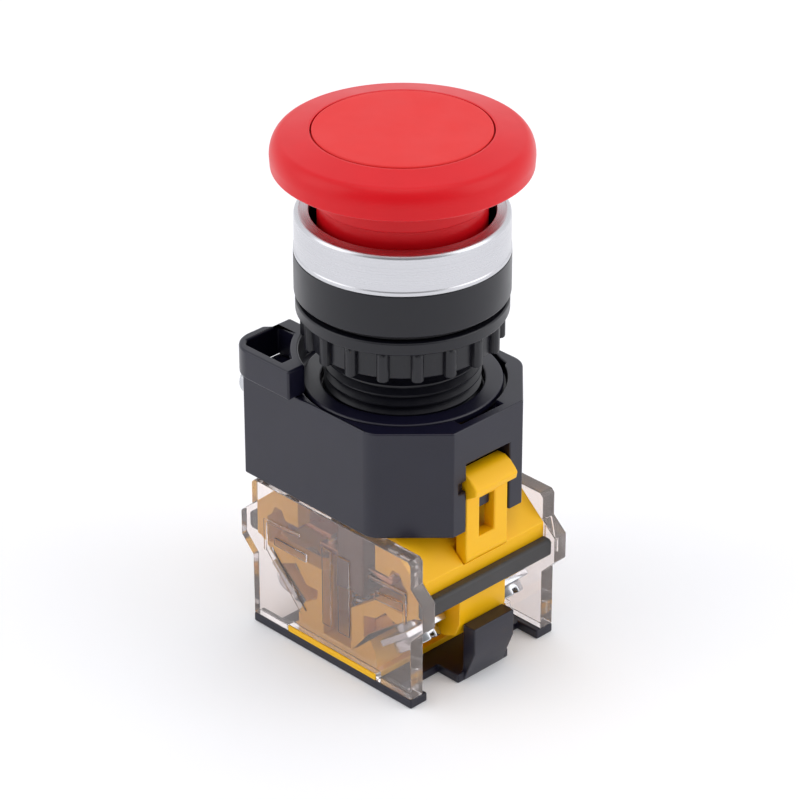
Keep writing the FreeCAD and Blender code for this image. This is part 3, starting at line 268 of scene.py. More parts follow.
def round_corner(piece, before, corner, after, radius):
    """Cuts an upright corner of the piece to an arc; the places before and after it lie on its sides."""
    here = Vector(corner)
    sides = [(Vector(place) - here).normalized() for place in (before, after)]
    reach = radius / math.tan(sides[0].angle(sides[1]) / 2)
    ends = [here + side * reach for side in sides]
    arc = eased([(*ends[0], 0), (*here, radius), (*ends[1], 0)], steps=10)[1:-1]
    outside = (sides[0] + sides[1]).normalized() * -2 * MARGIN
    heights = [vertex.co.z for vertex in piece.data.vertices]
    carve(piece, column("corner_tool", [*arc, ends[1] + outside, ends[0] + outside],
                        min(heights) - MARGIN, max(heights) + MARGIN))
    bpy.ops.object.mode_set(mode="EDIT")
    bpy.ops.mesh.select_all(action="SELECT")
    bpy.ops.mesh.remove_doubles(threshold=CUT_MERGE)
    bpy.ops.mesh.dissolve_limited(angle_limit=FLAT)
    bpy.ops.object.mode_set(mode="OBJECT")


# %% [markdown]
# ## Finishing a piece
#
# Finishing is the same for all: shrink to metres, apply the transform so that the object sits at the
# origin, assign the material, shade smoothly across gentle angles, and weight the normals by face size
# so that flat faces stay flat beside their small rounds. Then the piece rides on its CAD body.

# %% Finish
SMOOTH = math.radians(35)


def finish(piece, material, slot, *nodes):
    """Shrinks the piece to metres and puts it in the place of its CAD nodes."""
    piece.scale = (MM, MM, MM)
    pick(piece)
    bpy.ops.object.transform_apply(location=True, rotation=True, scale=True)
    piece.data.materials.clear()
    piece.data.materials.append(material)
    bpy.ops.object.shade_smooth_by_angle(angle=SMOOTH)
    apply(piece, "WEIGHTED_NORMAL", keep_sharp=True)
    bodies = frame["record"]["behaviour"]["bodies"]
    body = next(name for name, members in bodies.items() if nodes[0] in members)
    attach(piece, body)
    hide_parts(*nodes)
    print(piece.name, "has", len(piece.data.polygons), "faces and rides on", body)
    return piece


# %% [markdown]
# ## Mixing materials
#
# Colours are written as sRGB hex, the way a colour card gives them, and turned to the linear values that
# a shader needs. Patterns are sized from real millimetres: Object coordinates are in metres, so a grain
# of one millimetre repeats a thousand times in one unit. One small function adds a node with its
# settings and links.

# %% Material tools
def linear(code):
    """An sRGB hex colour as linear red, green, blue and alpha."""
    parts = [int(code[start:start + 2], 16) / 255 for start in (1, 3, 5)]
    return (*[part / 12.92 if part <= 0.04045 else ((part + 0.055) / 1.055) ** 2.4 for part in parts], 1)


def repeats(size):
    """How often a pattern of that size in millimetres fits into a metre."""
    return 1 / (size * MM)


def add(material, kind, inputs, **settings):
    """Adds a node, with its settings, and sets or links its inputs."""
    node = material.node_tree.nodes.new(kind)
    for key, value in settings.items():
        setattr(node, key, value)
    for key, value in inputs.items():
        if isinstance(value, bpy.types.NodeSocket):
            material.node_tree.links.new(value, node.inputs[key])
        else:
            node.inputs[key].default_value = value
    return node


def new_material(name, **constants):
    """A material and its shader, with the shader's constant sockets set; underscores stand for spaces."""
    material = bpy.data.materials.new(name)
    material.use_nodes = True
    shader = material.node_tree.nodes["Principled BSDF"]
    for key, value in constants.items():
        shader.inputs[key.replace("_", " ")].default_value = value
    return material, shader


def wire(material, shader, **sockets):
    """Links outputs to the shader's sockets."""
    for key, value in sockets.items():
        material.node_tree.links.new(value, shader.inputs[key.replace("_", " ")])


# %% [markdown]
# ## Moulded plastics
#
# The cap, adapter, nut, levers and block are injection mouldings. Molten plastic leaves a faint cloud
# of two close tones, the tool's spark-eroded wall leaves a fine matt grain, and handling polishes some
# patches a little more than others. One recipe covers them all, with the colours, the roughness and the
# grain size different for each. The clouds are 4 mm wide and the polished patches 7 mm. The grain is
# drawn at 0.35 mm, coarser than life, so that it shows.

# %% Moulded plastic recipe
CLOUD = 4
PATCH = 7
USUAL_NOISE = {"From Min": 0.3, "From Max": 0.7}


def moulded(name, colour, shade, rough, grain=0.35, relief=0.004, streak=1.0, **constants):
    """Moulded plastic; a streak below 1 draws the flow out along Z."""
    material, shader = new_material(name, **constants)
    place = add(material, "ShaderNodeTexCoord", {}).outputs["Object"]
    drawn = add(material, "ShaderNodeMapping", {"Vector": place, "Scale": (1, 1, streak)}).outputs["Vector"]
    flow = add(material, "ShaderNodeTexNoise", {"Vector": drawn, "Scale": repeats(CLOUD), "Detail": 3.0})
    tone = add(material, "ShaderNodeMix", {0: flow.outputs["Fac"], 6: linear(colour), 7: linear(shade)},
               data_type="RGBA")
    handled = add(material, "ShaderNodeTexNoise", {"Vector": place, "Scale": repeats(PATCH), "Detail": 4.0})
    gloss = add(material, "ShaderNodeMapRange", {"Value": handled.outputs["Fac"], **USUAL_NOISE,
                                                 "To Min": rough - 0.05, "To Max": rough + 0.05})
    pits = add(material, "ShaderNodeTexNoise", {"Vector": place, "Scale": repeats(grain), "Detail": 2.0})
    bump = add(material, "ShaderNodeBump", {"Height": pits.outputs["Fac"], "Strength": 0.5,
                                            "Distance": relief * MM})
    wire(material, shader, Base_Color=tone.outputs[2], Roughness=gloss.outputs["Result"],
         Normal=bump.outputs["Normal"])
    print("mixed", name)
    return material


# Signal-red ABS, moulded: deep colour, satin gloss, streaks where the skirt was drawn from the tool.
red_rim = moulded("red_abs_moulded", "#df0f1c", "#d60b18", 0.34, streak=0.15, IOR=1.53,
                  Specular_IOR_Level=0.25)
# The same plastic with a matt textured face. Its colour is painted paler than the rim's, as painted light for
# the light that falls on the top face from above.
red_face_painted_paler = moulded("red_abs_matt_face_painted_paler", "#e6201f", "#df1c1c", 0.5, relief=0.008, IOR=1.53,
                   Specular_IOR_Level=0.35)
# Black glass-filled polyamide, moulded: nearly neutral with a trace of blue, dull sheen.
black_head = moulded("black_polyamide_moulded", "#0d0d18", "#0a0a13", 0.34, IOR=1.53,
                     Specular_IOR_Level=0.42)
# Charcoal polycarbonate blend of the adapter and base, moulded, with a violet tint in its sheen.
black_case = moulded("charcoal_plastic_moulded", "#141328", "#100f20", 0.33, IOR=1.56,
                     Specular_IOR_Level=0.42)
# Grey polyamide of the shrouds, moulded.
grey_case = moulded("grey_polyamide_moulded", "#343233", "#2d2b2c", 0.5, IOR=1.53)
# Umber polyamide of the contact carriers, moulded: a warm dark brown that keeps arcs from marking it.
umber_case = moulded("umber_polyamide_moulded", "#6a4538", "#5c3b30", 0.5, IOR=1.53)
# Yellow polyester of the contact block, moulded: strong warm colour with a waxy skin.
yellow_case = moulded("yellow_polyester_moulded", "#ffc200", "#fbba00", 0.42, IOR=1.57,
                      Specular_IOR_Level=0.3, Subsurface_Weight=0.08, Subsurface_Scale=0.002,
                      Subsurface_Radius=(1.0, 0.5, 0.1))
# Nitrile rubber of the panel gasket, moulded: matt and dark.
rubber = moulded("nitrile_rubber_moulded", "#232326", "#1b1b1e", 0.75, grain=0.25, relief=0.01, IOR=1.52)

# %% [markdown]
# ## Turned and plated metal
#
# The bezel is anodised aluminium turned on a lathe, so its tool marks run round the axis: a noise that
# sees only the distance from the axis and the height. The marks are drawn 0.12 mm apart. Springs are
# drawn wire, the contact strips are stamped copper alloy, the tips are silver, and the screws are
# zinc-plated steel with the slightly cloudy look of the plating bath.

# %% Metals
def metal(name, colour, shade, rough, size, relief, turned=False):
    """Bare metal with marks of that size in millimetres; turned marks run round the axis."""
    material, shader = new_material(name, Metallic=1.0)
    place = add(material, "ShaderNodeTexCoord", {}).outputs["Object"]
    if turned:
        flat = add(material, "ShaderNodeVectorMath", {0: place, 1: (1, 1, 0)}, operation="MULTIPLY")
        away = add(material, "ShaderNodeVectorMath", {0: flat.outputs["Vector"]}, operation="LENGTH")
        parts = add(material, "ShaderNodeSeparateXYZ", {"Vector": place})
        place = add(material, "ShaderNodeCombineXYZ",
                    {"X": away.outputs["Value"], "Y": parts.outputs["Z"]}).outputs["Vector"]
    marks = add(material, "ShaderNodeTexNoise", {"Vector": place, "Scale": repeats(size), "Detail": 3.0})
    tone = add(material, "ShaderNodeMix", {0: marks.outputs["Fac"], 6: linear(colour), 7: linear(shade)},
               data_type="RGBA")
    gloss = add(material, "ShaderNodeMapRange", {"Value": marks.outputs["Fac"], **USUAL_NOISE,
                                                 "To Min": rough - 0.06, "To Max": rough + 0.06})
    bump = add(material, "ShaderNodeBump", {"Height": marks.outputs["Fac"], "Strength": 0.4,
                                            "Distance": relief * MM})
    wire(material, shader, Base_Color=tone.outputs[2], Roughness=gloss.outputs["Result"],
         Normal=bump.outputs["Normal"])
    print("mixed", name)
    return material


# Satin anodised aluminium, turned: pale and even, with fine rings.
aluminium = metal("satin_aluminium_turned", "#d4d4d7", "#c8c8cc", 0.3, 0.12, 0.003, turned=True)
# Spring steel, drawn wire: darker and fairly bright.
spring_steel = metal("spring_steel_drawn", "#b4b4b6", "#9a9a9d", 0.28, 0.3, 0.002)
# Zinc-plated steel, cloudy from the bath.
zinc = metal("zinc_plated_steel", "#d2d3d6", "#b4b6bb", 0.2, 1.2, 0.004)
# Copper alloy, stamped from strip: pinkish and satin.
copper_alloy = metal("copper_alloy_stamped", "#d9a487", "#c58d70", 0.32, 0.8, 0.004)
# Fine silver, riveted: pale and soft.
silver = metal("fine_silver_riveted", "#e8e6e1", "#d8d5cf", 0.25, 0.5, 0.002)

# %% [markdown]
# ## Clear polycarbonate
#
# The covers are clear mouldings that let the yellow block show through. Transmission bends the view as
# the real slab does. The index is set a little below the 1.58 of solid polycarbonate, and a small part of
# plain pinkish colour stays, because with all of it clear the narrow edges turn dark. A slow waviness
# from the mould, 5 mm long, keeps the reflections from looking like glass.

# %% Clear plastic
clear, clear_shader = new_material("clear_polycarbonate_moulded", IOR=1.45, Transmission_Weight=0.93)
clear_place = add(clear, "ShaderNodeTexCoord", {}).outputs["Object"]
clear_flow = add(clear, "ShaderNodeTexNoise", {"Vector": clear_place, "Scale": repeats(5), "Detail": 2.0})
clear_tone = add(clear, "ShaderNodeMix", {0: clear_flow.outputs["Fac"], 6: linear("#fdf6f4"),
                                          7: linear("#f9efec")}, data_type="RGBA")
clear_gloss = add(clear, "ShaderNodeMapRange", {"Value": clear_flow.outputs["Fac"], "To Min": 0.02,
                                                "To Max": 0.1})
clear_bump = add(clear, "ShaderNodeBump", {"Height": clear_flow.outputs["Fac"], "Strength": 0.3,
                                           "Distance": 0.02 * MM})
wire(clear, clear_shader, Base_Color=clear_tone.outputs[2], Roughness=clear_gloss.outputs["Result"],
     Normal=clear_bump.outputs["Normal"])
print("mixed", clear.name)

# %% [markdown]
# ## The mushroom cap
#
# The cap is one turned form: a rim that is rounded over at the top and nearly straight at the side, a
# gentle slope up to the seat of the disc, and below it a skirt, a thinner sleeve and a boss. A lathe
# outline holds all of that in one closed path, starting and ending on the axis. In every outline the
# third number of a corner is the radius of its rounding, all in millimetres.

# %% Cap
RIM_HEIGHT = 5.25
RIM_WALL = 1.8
SHOULDER = (1.64, 2.77)
SHOULDER_DROP = 3.52
SEAT_GAP = 0.2
SKIRT_GAP = 2.7
SKIRT_DEPTH = 4.4
SLEEVE_STEP = 0.6
SLEEVE_WALL = 1.3
BOSS_RADIUS = 6.4
BOSS_DEPTH = 6
STEM_RADIUS = 4

cap_low, cap_high = box_mm("mushroom_cap")
cap_radius = cap_high.x
rim_low = cap_high.z - RIM_HEIGHT
disc_low, disc_high = box_mm("cap_disc")
seat = disc_high.x + SEAT_GAP
skirt = box_mm("bezel_ring")[1].x - SKIRT_GAP
sleeve = skirt - SLEEVE_STEP
shoulder = (cap_radius - SHOULDER[0], cap_high.z - SHOULDER_DROP)

cap = lathe("cap_moulding", eased([
    (0, disc_low.z, 0),
    (seat, disc_low.z, 0),
    (seat, cap_high.z - 0.03, 0.06),
    (seat + 0.3, cap_high.z - 0.03, 0.1),
    (shoulder[0], shoulder[1] + SHOULDER[1], 0),
    *curve(shoulder, SHOULDER, 80, 0),
    (cap_radius - 0.08, rim_low + 0.45, 0),
    (cap_radius - 0.12, rim_low, 0.35),
    (cap_radius - RIM_WALL, rim_low, 0.3),
    (cap_radius - RIM_WALL, rim_low + 3, 0.4),
    (skirt + 0.9, rim_low + 3, 0.4),
    (skirt, rim_low - 0.2, 0),
    (skirt, rim_low - SKIRT_DEPTH, 0.2),
    (sleeve, rim_low - SKIRT_DEPTH, 0),
    (sleeve, cap_low.z, 0.2),
    (sleeve - SLEEVE_WALL, cap_low.z, 0.2),
    (sleeve - SLEEVE_WALL, rim_low, 0),
    (BOSS_RADIUS, rim_low, 0),
    (BOSS_RADIUS, rim_low - BOSS_DEPTH, 0.2),
    (STEM_RADIUS, rim_low - BOSS_DEPTH, 0),
    (STEM_RADIUS, rim_low + 1.6, 0),
    (0, rim_low + 1.6, 0),
]))
finish(cap, red_rim, "cap_plastic", "mushroom_cap")

disc = lathe("cap_face_disc", eased([
    (0, disc_low.z, 0),
    (disc_high.x, disc_low.z, 0),
    (disc_high.x, disc_high.z - 0.06, 0.25),
    (disc_high.x - 1.2, disc_high.z, 0),
    (0, disc_high.z, 0),
]))
# The face disc takes the red whose paler colour is painted in for the light from above.
finish(disc, red_face_painted_paler, "cap_plastic", "cap_disc")

# %% [markdown]
# ## The bezel and the collar
#
# The bezel is a turned ring pressed over the collar, with a rounded shoulder, a narrow flat top and a
# fine step near its lower edge. The collar under it is black plastic and carries the threaded neck. The
# thread is drawn as closed rings one pitch apart: a real one climbs 1.5 mm a turn, which can't be told
# from rings in the few turns that show between the nut and the adapter, and rings leave no open ends.

# %% Bezel
BEZEL_WALL = 1.45
BEZEL_LIP = 2.2

bezel_low, bezel_high = box_mm("bezel_ring")
ring_radius = bezel_high.x
bezel_foot = (ring_radius - BEZEL_WALL, bezel_low.z)
bezel = lathe("bezel_turned", eased([
    (*bezel_foot, 0),
    (ring_radius - 0.02, bezel_low.z, 0.12),
    (ring_radius - 0.02, bezel_low.z + 0.55, 0.05),
    (ring_radius - 0.12, bezel_low.z + 0.7, 0.05),
    (ring_radius - 0.15, bezel_high.z, 0.7),
    (ring_radius - 0.85, bezel_high.z, 0.12),
    (ring_radius - 0.95, bezel_high.z - 0.05, 0.1),
    (ring_radius - BEZEL_LIP, bezel_high.z - 0.05, 0.18),
    (ring_radius - BEZEL_LIP, bezel_high.z - 1, 0),
    (ring_radius - BEZEL_WALL, bezel_high.z - 1, 0),
    (*bezel_foot, 0),
]))
finish(bezel, aluminium, "bezel_metal", "bezel_ring")

# %% Collar and neck
PITCH = 1.5
THREAD_DEPTH = 0.9
THREAD_TOP = 20.9
NECK_BORE = 8.6
STEM_BORE = 7.05
GASKET_REACH = 2.9

head_low, head_high = box_mm("head_body")
neck = -box_mm("panel_gasket")[0].x - GASKET_REACH
root = neck - THREAD_DEPTH
crests = []
level = head_low.z + 0.4
while level < -0.5 - PITCH:
    crests += [(neck, level, 0), (root, level + 0.66, 0), (root, level + 0.84, 0),
               (neck, level + PITCH - 0.19, 0)]
    level += PITCH
head = lathe("collar_and_neck", eased([
    (STEM_BORE, -3, 0),
    (NECK_BORE, -3, 0),
    (NECK_BORE, head_low.z, 0),
    (neck - 0.4, head_low.z, 0),
    *crests,
    (neck, head_low.z + THREAD_TOP, 0),
    (neck, 0.85, 0),
    (ring_radius, 0.85, 0.35),
    (ring_radius, bezel_low.z - 0.02, 0.15),
    (ring_radius - BEZEL_WALL, bezel_low.z - 0.02, 0),
    (ring_radius - BEZEL_WALL, head_high.z, 0),
    (ring_radius - 2.05, head_high.z, 0),
    (ring_radius - 2.05, bezel_low.z - 1.6, 0),
    (STEM_BORE, bezel_low.z - 1.6, 0),
    (STEM_BORE, -3, 0),
]))
finish(head, black_head, "black_plastic", "head_body")
print("thread rings", len(crests) // 4)

# %% Gasket
THREAD_GAP = 0.06

gasket_low, gasket_high = box_mm("panel_gasket")
gasket = lathe("panel_gasket_moulded", eased([
    (neck + THREAD_GAP, gasket_low.z + 0.02, 0),
    (gasket_high.x, gasket_low.z + 0.02, 0.25),
    (gasket_high.x, gasket_high.z - 0.02, 0.15),
    (neck + THREAD_GAP, gasket_high.z - 0.02, 0),
    (neck + THREAD_GAP, gasket_low.z + 0.02, 0),
]))
finish(gasket, rubber, "gasket_rubber", "panel_gasket")

# %% [markdown]
# ## The nut
#
# The nut is a flange and a skirt with eighteen tall rounded teeth to grip. The ring is turned, one tooth
# is shaped from a cube by rounding its outer edges, and Spin with duplicates sets the rest of them round
# the skirt, which keeps every tooth the same.

# %% Nut ring
FLANGE_THICK = 1.9
FLANGE_REACH = 1.63

nut_low, nut_high = box_mm("mounting_nut")
flange = nut_high.x
nut_skirt = flange - FLANGE_REACH
nut = lathe("nut_ring", eased([
    (neck + THREAD_GAP, nut_high.z, 0),
    (flange, nut_high.z, 0.3),
    (flange, nut_high.z - FLANGE_THICK, 0.3),
    (nut_skirt, nut_high.z - FLANGE_THICK, 0),
    (nut_skirt, nut_low.z + 0.2, 0.3),
    (neck + 0.5, nut_low.z + 0.2, 0),
    (neck + THREAD_GAP, nut_low.z + 0.6, 0),
    (neck + THREAD_GAP, nut_high.z, 0),
]))

# %% Nut teeth
TEETH = 18
TOOTH_DEPTH = 2
TOOTH_WIDTH = 1.75
TOOTH_ROUND = 0.72
TOOTH_END_ROUND = 0.3
FIRST_TOOTH = math.radians(4.05)

deselect()
tooth_top = nut_high.z - 1.8
bpy.ops.mesh.primitive_cube_add(size=1, location=(nut_skirt, 0, (nut_low.z + tooth_top) / 2),
                                scale=(TOOTH_DEPTH, TOOTH_WIDTH, tooth_top - nut_low.z))
teeth = bpy.context.object
bpy.ops.object.transform_apply(location=True, rotation=False, scale=True)
bpy.ops.object.mode_set(mode="EDIT")
bpy.ops.mesh.select_mode(type="EDGE")
bpy.ops.mesh.select_all(action="DESELECT")
bpy.ops.object.mode_set(mode="OBJECT")
for edge in teeth.data.edges:
    ends = [teeth.data.vertices[index].co for index in edge.vertices]
    edge.select = all(end.x > nut_skirt for end in ends) and max(end.z for end in ends) > nut_low.z + 0.1
bpy.ops.object.mode_set(mode="EDIT")
bpy.ops.mesh.bevel(offset=TOOTH_ROUND, segments=4, profile=0.5)
bpy.ops.object.mode_set(mode="OBJECT")
for edge in teeth.data.edges:
    ends = [teeth.data.vertices[index].co for index in edge.vertices]
    edge.select = all(end.z < nut_low.z + 0.01 for end in ends) and max(end.x for end in ends) > nut_skirt
bpy.ops.object.mode_set(mode="EDIT")
bpy.ops.mesh.bevel(offset=TOOTH_END_ROUND, segments=2, profile=0.5)
bpy.ops.mesh.select_all(action="SELECT")
bpy.ops.transform.rotate(value=-FIRST_TOOTH, orient_axis="Z", center_override=(0, 0, 0))
bpy.ops.mesh.spin(steps=TEETH - 1, angle=math.tau * (TEETH - 1) / TEETH, dupli=True,
                  center=(0, 0, 0), axis=(0, 0, 1))
tidy_shell()
print("teeth", TEETH, "first at", [round(value, 2) for value in teeth.data.vertices[0].co])
nut.select_set(True)
bpy.context.view_layer.objects.active = nut
bpy.ops.object.join()
finish(nut, black_head, "black_plastic", "mounting_nut")

# %% [markdown]
# ## The adapter and the lock lever
#
# The adapter is a box moulding with walls, a bored roof and mouths for the latches, all of which the CAD
# shape has, so it is softened. Two of its corners are much rounder than its edges and are cut to an arc.
# A pocket in the roof and a nick beside the right mouth, where the tool's slides met, are cut too. The
# lever's outer corner is a broad round as well, and its bevel is wider, as a handle's is. Both pieces are
# the same charcoal plastic.

# %% Adapter
CHAMFER = (8.0, 8.25)
CORNER_ROUND = 3.5
POCKET = [(3.9, 13.7), (7.6, 12.9), (8.1, 11.2), (7.0, 9.3), (3.0, 12.0)]
POCKET_DEPTH = 2.2
NICK_DEPTH = 0.7
NICK_SIDES = (-5.7, -4.1)
NICK_HEIGHTS = (6.5, 8.1)

housing = softened("adapter_housing", "adapter_shell", 0)
house_low, house_high = box_mm("adapter_housing")
edge_x = house_high.x - CHAMFER[0]
edge_y = house_low.y + CHAMFER[1]
round_corner(housing, (0, house_low.y), (edge_x, house_low.y), (house_high.x, edge_y), CORNER_ROUND)
round_corner(housing, (0, house_high.y), (edge_x, house_high.y), (house_high.x, -edge_y), CORNER_ROUND)
carve(housing, column("roof_notch", POCKET, house_high.z - POCKET_DEPTH, house_high.z + MARGIN))
nick_inside = house_high.x - NICK_DEPTH
nick_outside = house_high.x + MARGIN
carve(housing, column("side_notch", [(nick_inside, NICK_SIDES[0]), (nick_outside, NICK_SIDES[0]),
                                     (nick_outside, NICK_SIDES[1]), (nick_inside, NICK_SIDES[1])],
                      under + NICK_HEIGHTS[0], under + NICK_HEIGHTS[1]))
soften(housing, 0.25, 3)
finish(housing, black_case, "black_plastic", "adapter_housing")

# %% Lever and clamp screw
HANDLE_ROUND = 4

lever = softened("lock_lever", "lock_lever_moulding", 0)
lever_low = box_mm("lock_lever")[0]
round_corner(lever, (lever_low.x, 0), (lever_low.x, lever_low.y), (0, lever_low.y), HANDLE_ROUND)
soften(lever, 0.35, 3)
finish(lever, black_case, "black_plastic", "lock_lever")
clamp = softened("clamp_screw", "clamp_screw_plated", 0.2, 2)
finish(clamp, zinc, "screw_steel", "clamp_screw")

# %% [markdown]
# ## The contact block
#
# The block, its latches, the shrouds and the base are mouldings with flat sides and small rounds, and
# the CAD shapes are right, so they are softened too. Each gets the bevel width of its own wall.

# %% Block, latches, shrouds and base
block = softened("contact_block_body", "contact_block_moulding", 0.15, 2)
finish(block, yellow_case, "yellow_plastic", "contact_block_body")
for side in ("right", "left"):
    latch = softened(f"latch_{side}", f"latch_{side}_moulding", 0.25, 3)
    finish(latch, yellow_case, "yellow_plastic", f"latch_{side}")
    shroud = softened(f"terminal_shroud_{side}", f"shroud_{side}_moulding", 0.2, 2)
    finish(shroud, grey_case, "grey_plastic", f"terminal_shroud_{side}")
base = softened("base_plate", "base_moulding", 0.2, 2)
finish(base, black_case, "black_plastic", "base_plate")

# %% [markdown]
# ## The clear covers
#
# Each cover is a slab with ears, drawn in a little so that it never shares a face with the block behind
# it, because two faces in one place flicker. Guide bars, two small frames and a slanting rib stand on
# its outer face. They are joined on with a Boolean, so that no face is left inside the clear plastic,
# where it would bend the light twice.

# %% Bars of the covers
def bar(name, start, end, width, low, high):
    """A straight bar from start to end in (x, z), of that width, between two depths in Y."""
    first = Vector(start)
    last = Vector(end)
    along = (last - first).normalized()
    aside = Vector((-along.y, along.x)) * width / 2
    return plate(name, [first - aside, last - aside, last + aside, first + aside], low, high)


# Each bar: x and drop below the adapter where it starts, the same where it ends, and its width.
BARS = [
    (-0.6, 6.1, -0.6, 18.6, 1.6),
    (2.9, 6.1, 2.9, 18.6, 2.2),
    (-13.3, 6.7, -6.1, 6.3, 0.5),
    (-13.2, 6.5, -13.2, 11.6, 0.5),
    (-11.3, 9.4, -4.7, 9.4, 1.2),
    (8.0, 6.7, 15.2, 6.5, 0.5),
    (15.1, 6.5, 15.1, 11.2, 0.5),
    (9.2, 9.2, 14.6, 8.8, 1.2),
    (-12.4, 11.1, -5.4, 18.7, 1.3),
]
print("bars on each cover", len(BARS))

# %% Covers
SINK = 0.3
RISE = 0.28



def cover(word, side):
    """One cover with its moulded details, on the side of Y that the sign gives."""
    node = f"cover_{word}"
    piece = softened(node, f"{node}_moulding", 0.18, 2, shrink=(0.998, 0.98, 0.998))
    low, high = box_mm(node)
    face = high.y - 0.03 if side > 0 else low.y + 0.03
    depth = sorted((face - side * SINK, face + side * RISE))
    for index, (start_x, start_drop, end_x, end_drop, width) in enumerate(BARS):
        start = (start_x, under - start_drop)
        end = (end_x, under - end_drop)
        carve(piece, bar(f"{node}_bar_{index}", start, end, width, *depth), "UNION")
    return finish(piece, clear, "clear_plastic", node)


cover("front", -1)
cover("rear", 1)

# %% [markdown]
# ## Contacts, springs and screws
#
# The carriers, bridges, strips and tips are small stamped and moulded pieces seen through the covers.
# They are softened with a very narrow bevel. The round tips, the clip and the stem need no bevel, so
# those CAD shapes stay and only take their materials.

# %% Contacts and terminals
for kind in ("no", "nc"):
    carrier = softened(f"carrier_{kind}", f"carrier_{kind}_moulding", 0.12, 2)
    finish(carrier, umber_case, "grey_plastic", f"carrier_{kind}")
    bridge = softened(f"bridge_{kind}", f"bridge_{kind}_stamped", 0.12, 2)
    finish(bridge, copper_alloy, "contact_brass", f"bridge_{kind}")
    for side in ("right", "left"):
        strip = softened(f"fixed_contact_{kind}_{side}", f"strip_{kind}_{side}_stamped", 0.1, 2)
        finish(strip, copper_alloy, "contact_brass", f"fixed_contact_{kind}_{side}")
        washer = softened(f"clamp_plate_{kind}_{side}", f"clamp_plate_{kind}_{side}_plated", 0.15, 2)
        finish(washer, zinc, "screw_steel", f"clamp_plate_{kind}_{side}")
screws = softened("terminal_screws", "terminal_screws_plated", 0.18, 2)
finish(screws, zinc, "screw_steel", "terminal_screws")

# %% [markdown]
# ## Springs
#
# Three springs stand in the fixed parts and are pressed by what moves above them. The coils already have
# their exact helix, so each spring is a copy of its node.

for node, joint in (("return_spring", "button_press"), ("carrier_spring_no", "carrier_no_slide"),
                    ("carrier_spring_nc", "carrier_nc_slide")):
    coil = bpy.data.objects.new(f"{node}_coiled", frame["nodes"][node].data.copy())
    bpy.context.collection.objects.link(coil)
    coil.data.transform(Matrix.Scale(1 / MM, 4))
    finish(coil, spring_steel, "spring_steel", node)
    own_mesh(coil)

# %% Materials of the CAD nodes that stay
kept = {
    spring_steel: ["stem_clip", "bridge_spring_no", "bridge_spring_nc"],
    silver: ["moving_tips_no", "moving_tips_nc", "fixed_tip_no_right", "fixed_tip_no_left",
             "fixed_tip_nc_right", "fixed_tip_nc_left"],
    black_head: ["plunger_stem"],
}
for material, names in kept.items():
    for name in names:
        node = frame["nodes"][name]
        node.data.materials.clear()
        node.data.materials.append(material)
        deselect()
        node.select_set(True)
        bpy.context.view_layer.objects.active = node
        bpy.ops.object.shade_smooth_by_angle(angle=SMOOTH)
print("dressed", sum(len(names) for names in kept.values()), "CAD nodes")

# %% [markdown]
# ## Floor, light and camera
#
# The object stands on a plain pale floor. Two large soft lights stand left and right of the camera, so
# that the sides of the dark mouldings catch a sheen while the edge towards the camera stays darker, and
# a broad light above fills the red face. The room itself is pale but dimmer on the viewer's side, where
# a studio is dark. The camera looks down at the object from its corner.

# %% Floor
FLOOR_SIZE = 4
FLOOR_GAP = 0.02
MOTTLE = 60

deselect()
bpy.ops.mesh.primitive_plane_add(size=FLOOR_SIZE, location=(0, 0, cad_box[0].z - FLOOR_GAP * MM))
floor = bpy.context.object
floor.name = "studio_floor"
# Painted studio board, sprayed: a matt white with the faintest mottle.
board, board_shader = new_material("white_board_painted", Roughness=0.9, Specular_IOR_Level=0.1,
                                   Emission_Color=(1, 1, 1, 1), Emission_Strength=0.08)
board_place = add(board, "ShaderNodeTexCoord", {}).outputs["Object"]
board_mottle = add(board, "ShaderNodeTexNoise", {"Vector": board_place, "Scale": repeats(MOTTLE)})
board_tone = add(board, "ShaderNodeMix", {0: board_mottle.outputs["Fac"], 6: linear("#f7f7f8"),
                                          7: linear("#f4f4f6")}, data_type="RGBA")
wire(board, board_shader, Base_Color=board_tone.outputs[2])
floor.data.materials.append(board)

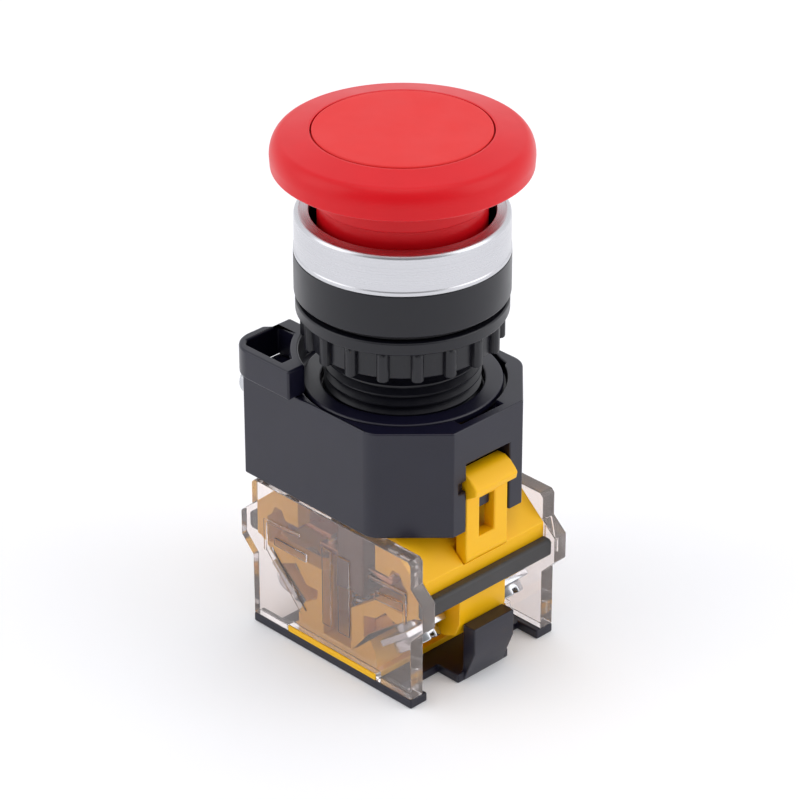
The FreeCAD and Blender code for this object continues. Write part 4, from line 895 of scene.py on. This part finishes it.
# %% Camera
LENS = 158.67
LOOK_DOWN = 29.25
ROLL = 0.05
HEADING = 45.55

camera_data = bpy.data.cameras.new("camera")
camera_data.lens = LENS
camera = bpy.data.objects.new("camera", camera_data)
camera.location = (0.3071, -0.3015, 0.2241)
camera.rotation_euler = (math.radians(90 - LOOK_DOWN), math.radians(ROLL), math.radians(HEADING))
bpy.context.collection.objects.link(camera)
bpy.context.scene.camera = camera
print("camera at", [round(value, 3) for value in camera.location])


# %% Lights
def soft_light(name, turn, lift, distance, size, power):
    """A square soft light that faces the object, turned from the camera's side and lifted, in degrees."""
    lamp = bpy.data.lights.new(name, "AREA")
    lamp.size = size
    lamp.energy = power
    light = bpy.data.objects.new(name, lamp)
    angle = math.radians(turn + HEADING - 90)
    rise = math.radians(lift)
    toward = Vector((math.cos(angle) * math.cos(rise), math.sin(angle) * math.cos(rise), math.sin(rise)))
    light.location = toward * distance
    light.rotation_euler = toward.to_track_quat("Z", "Y").to_euler()
    bpy.context.collection.objects.link(light)


soft_light("left_softbox", -75, 25, 0.9, 0.7, 1.7)
soft_light("right_softbox", 75, 25, 0.9, 0.7, 1.9)
soft_light("top_softbox", 20, 80, 1.0, 0.9, 1.7)

# %% World
BRIGHT_SIDE = 1.05
CAMERA_SIDE = 0.3
TOWARDS_CAMERA = (0.7136, -0.7006, 0)

world = bpy.data.worlds.new("studio")
world.use_nodes = True
backdrop = world.node_tree.nodes["Background"]
backdrop.inputs["Color"].default_value = linear("#f4f5f8")
heading = add(world, "ShaderNodeTexCoord", {}).outputs["Generated"]
facing = add(world, "ShaderNodeVectorMath", {0: heading, 1: TOWARDS_CAMERA}, operation="DOT_PRODUCT")
dimmer = add(world, "ShaderNodeMapRange", {"Value": facing.outputs["Value"], "From Min": 0.1, "From Max": 0.9,
                                           "To Min": BRIGHT_SIDE, "To Max": CAMERA_SIDE})
world.node_tree.links.new(dimmer.outputs["Result"], backdrop.inputs["Strength"])
bpy.context.scene.world = world
# The plain sRGB display keeps the plastics as saturated as they are in daylight.
bpy.context.scene.view_settings.view_transform = "Standard"
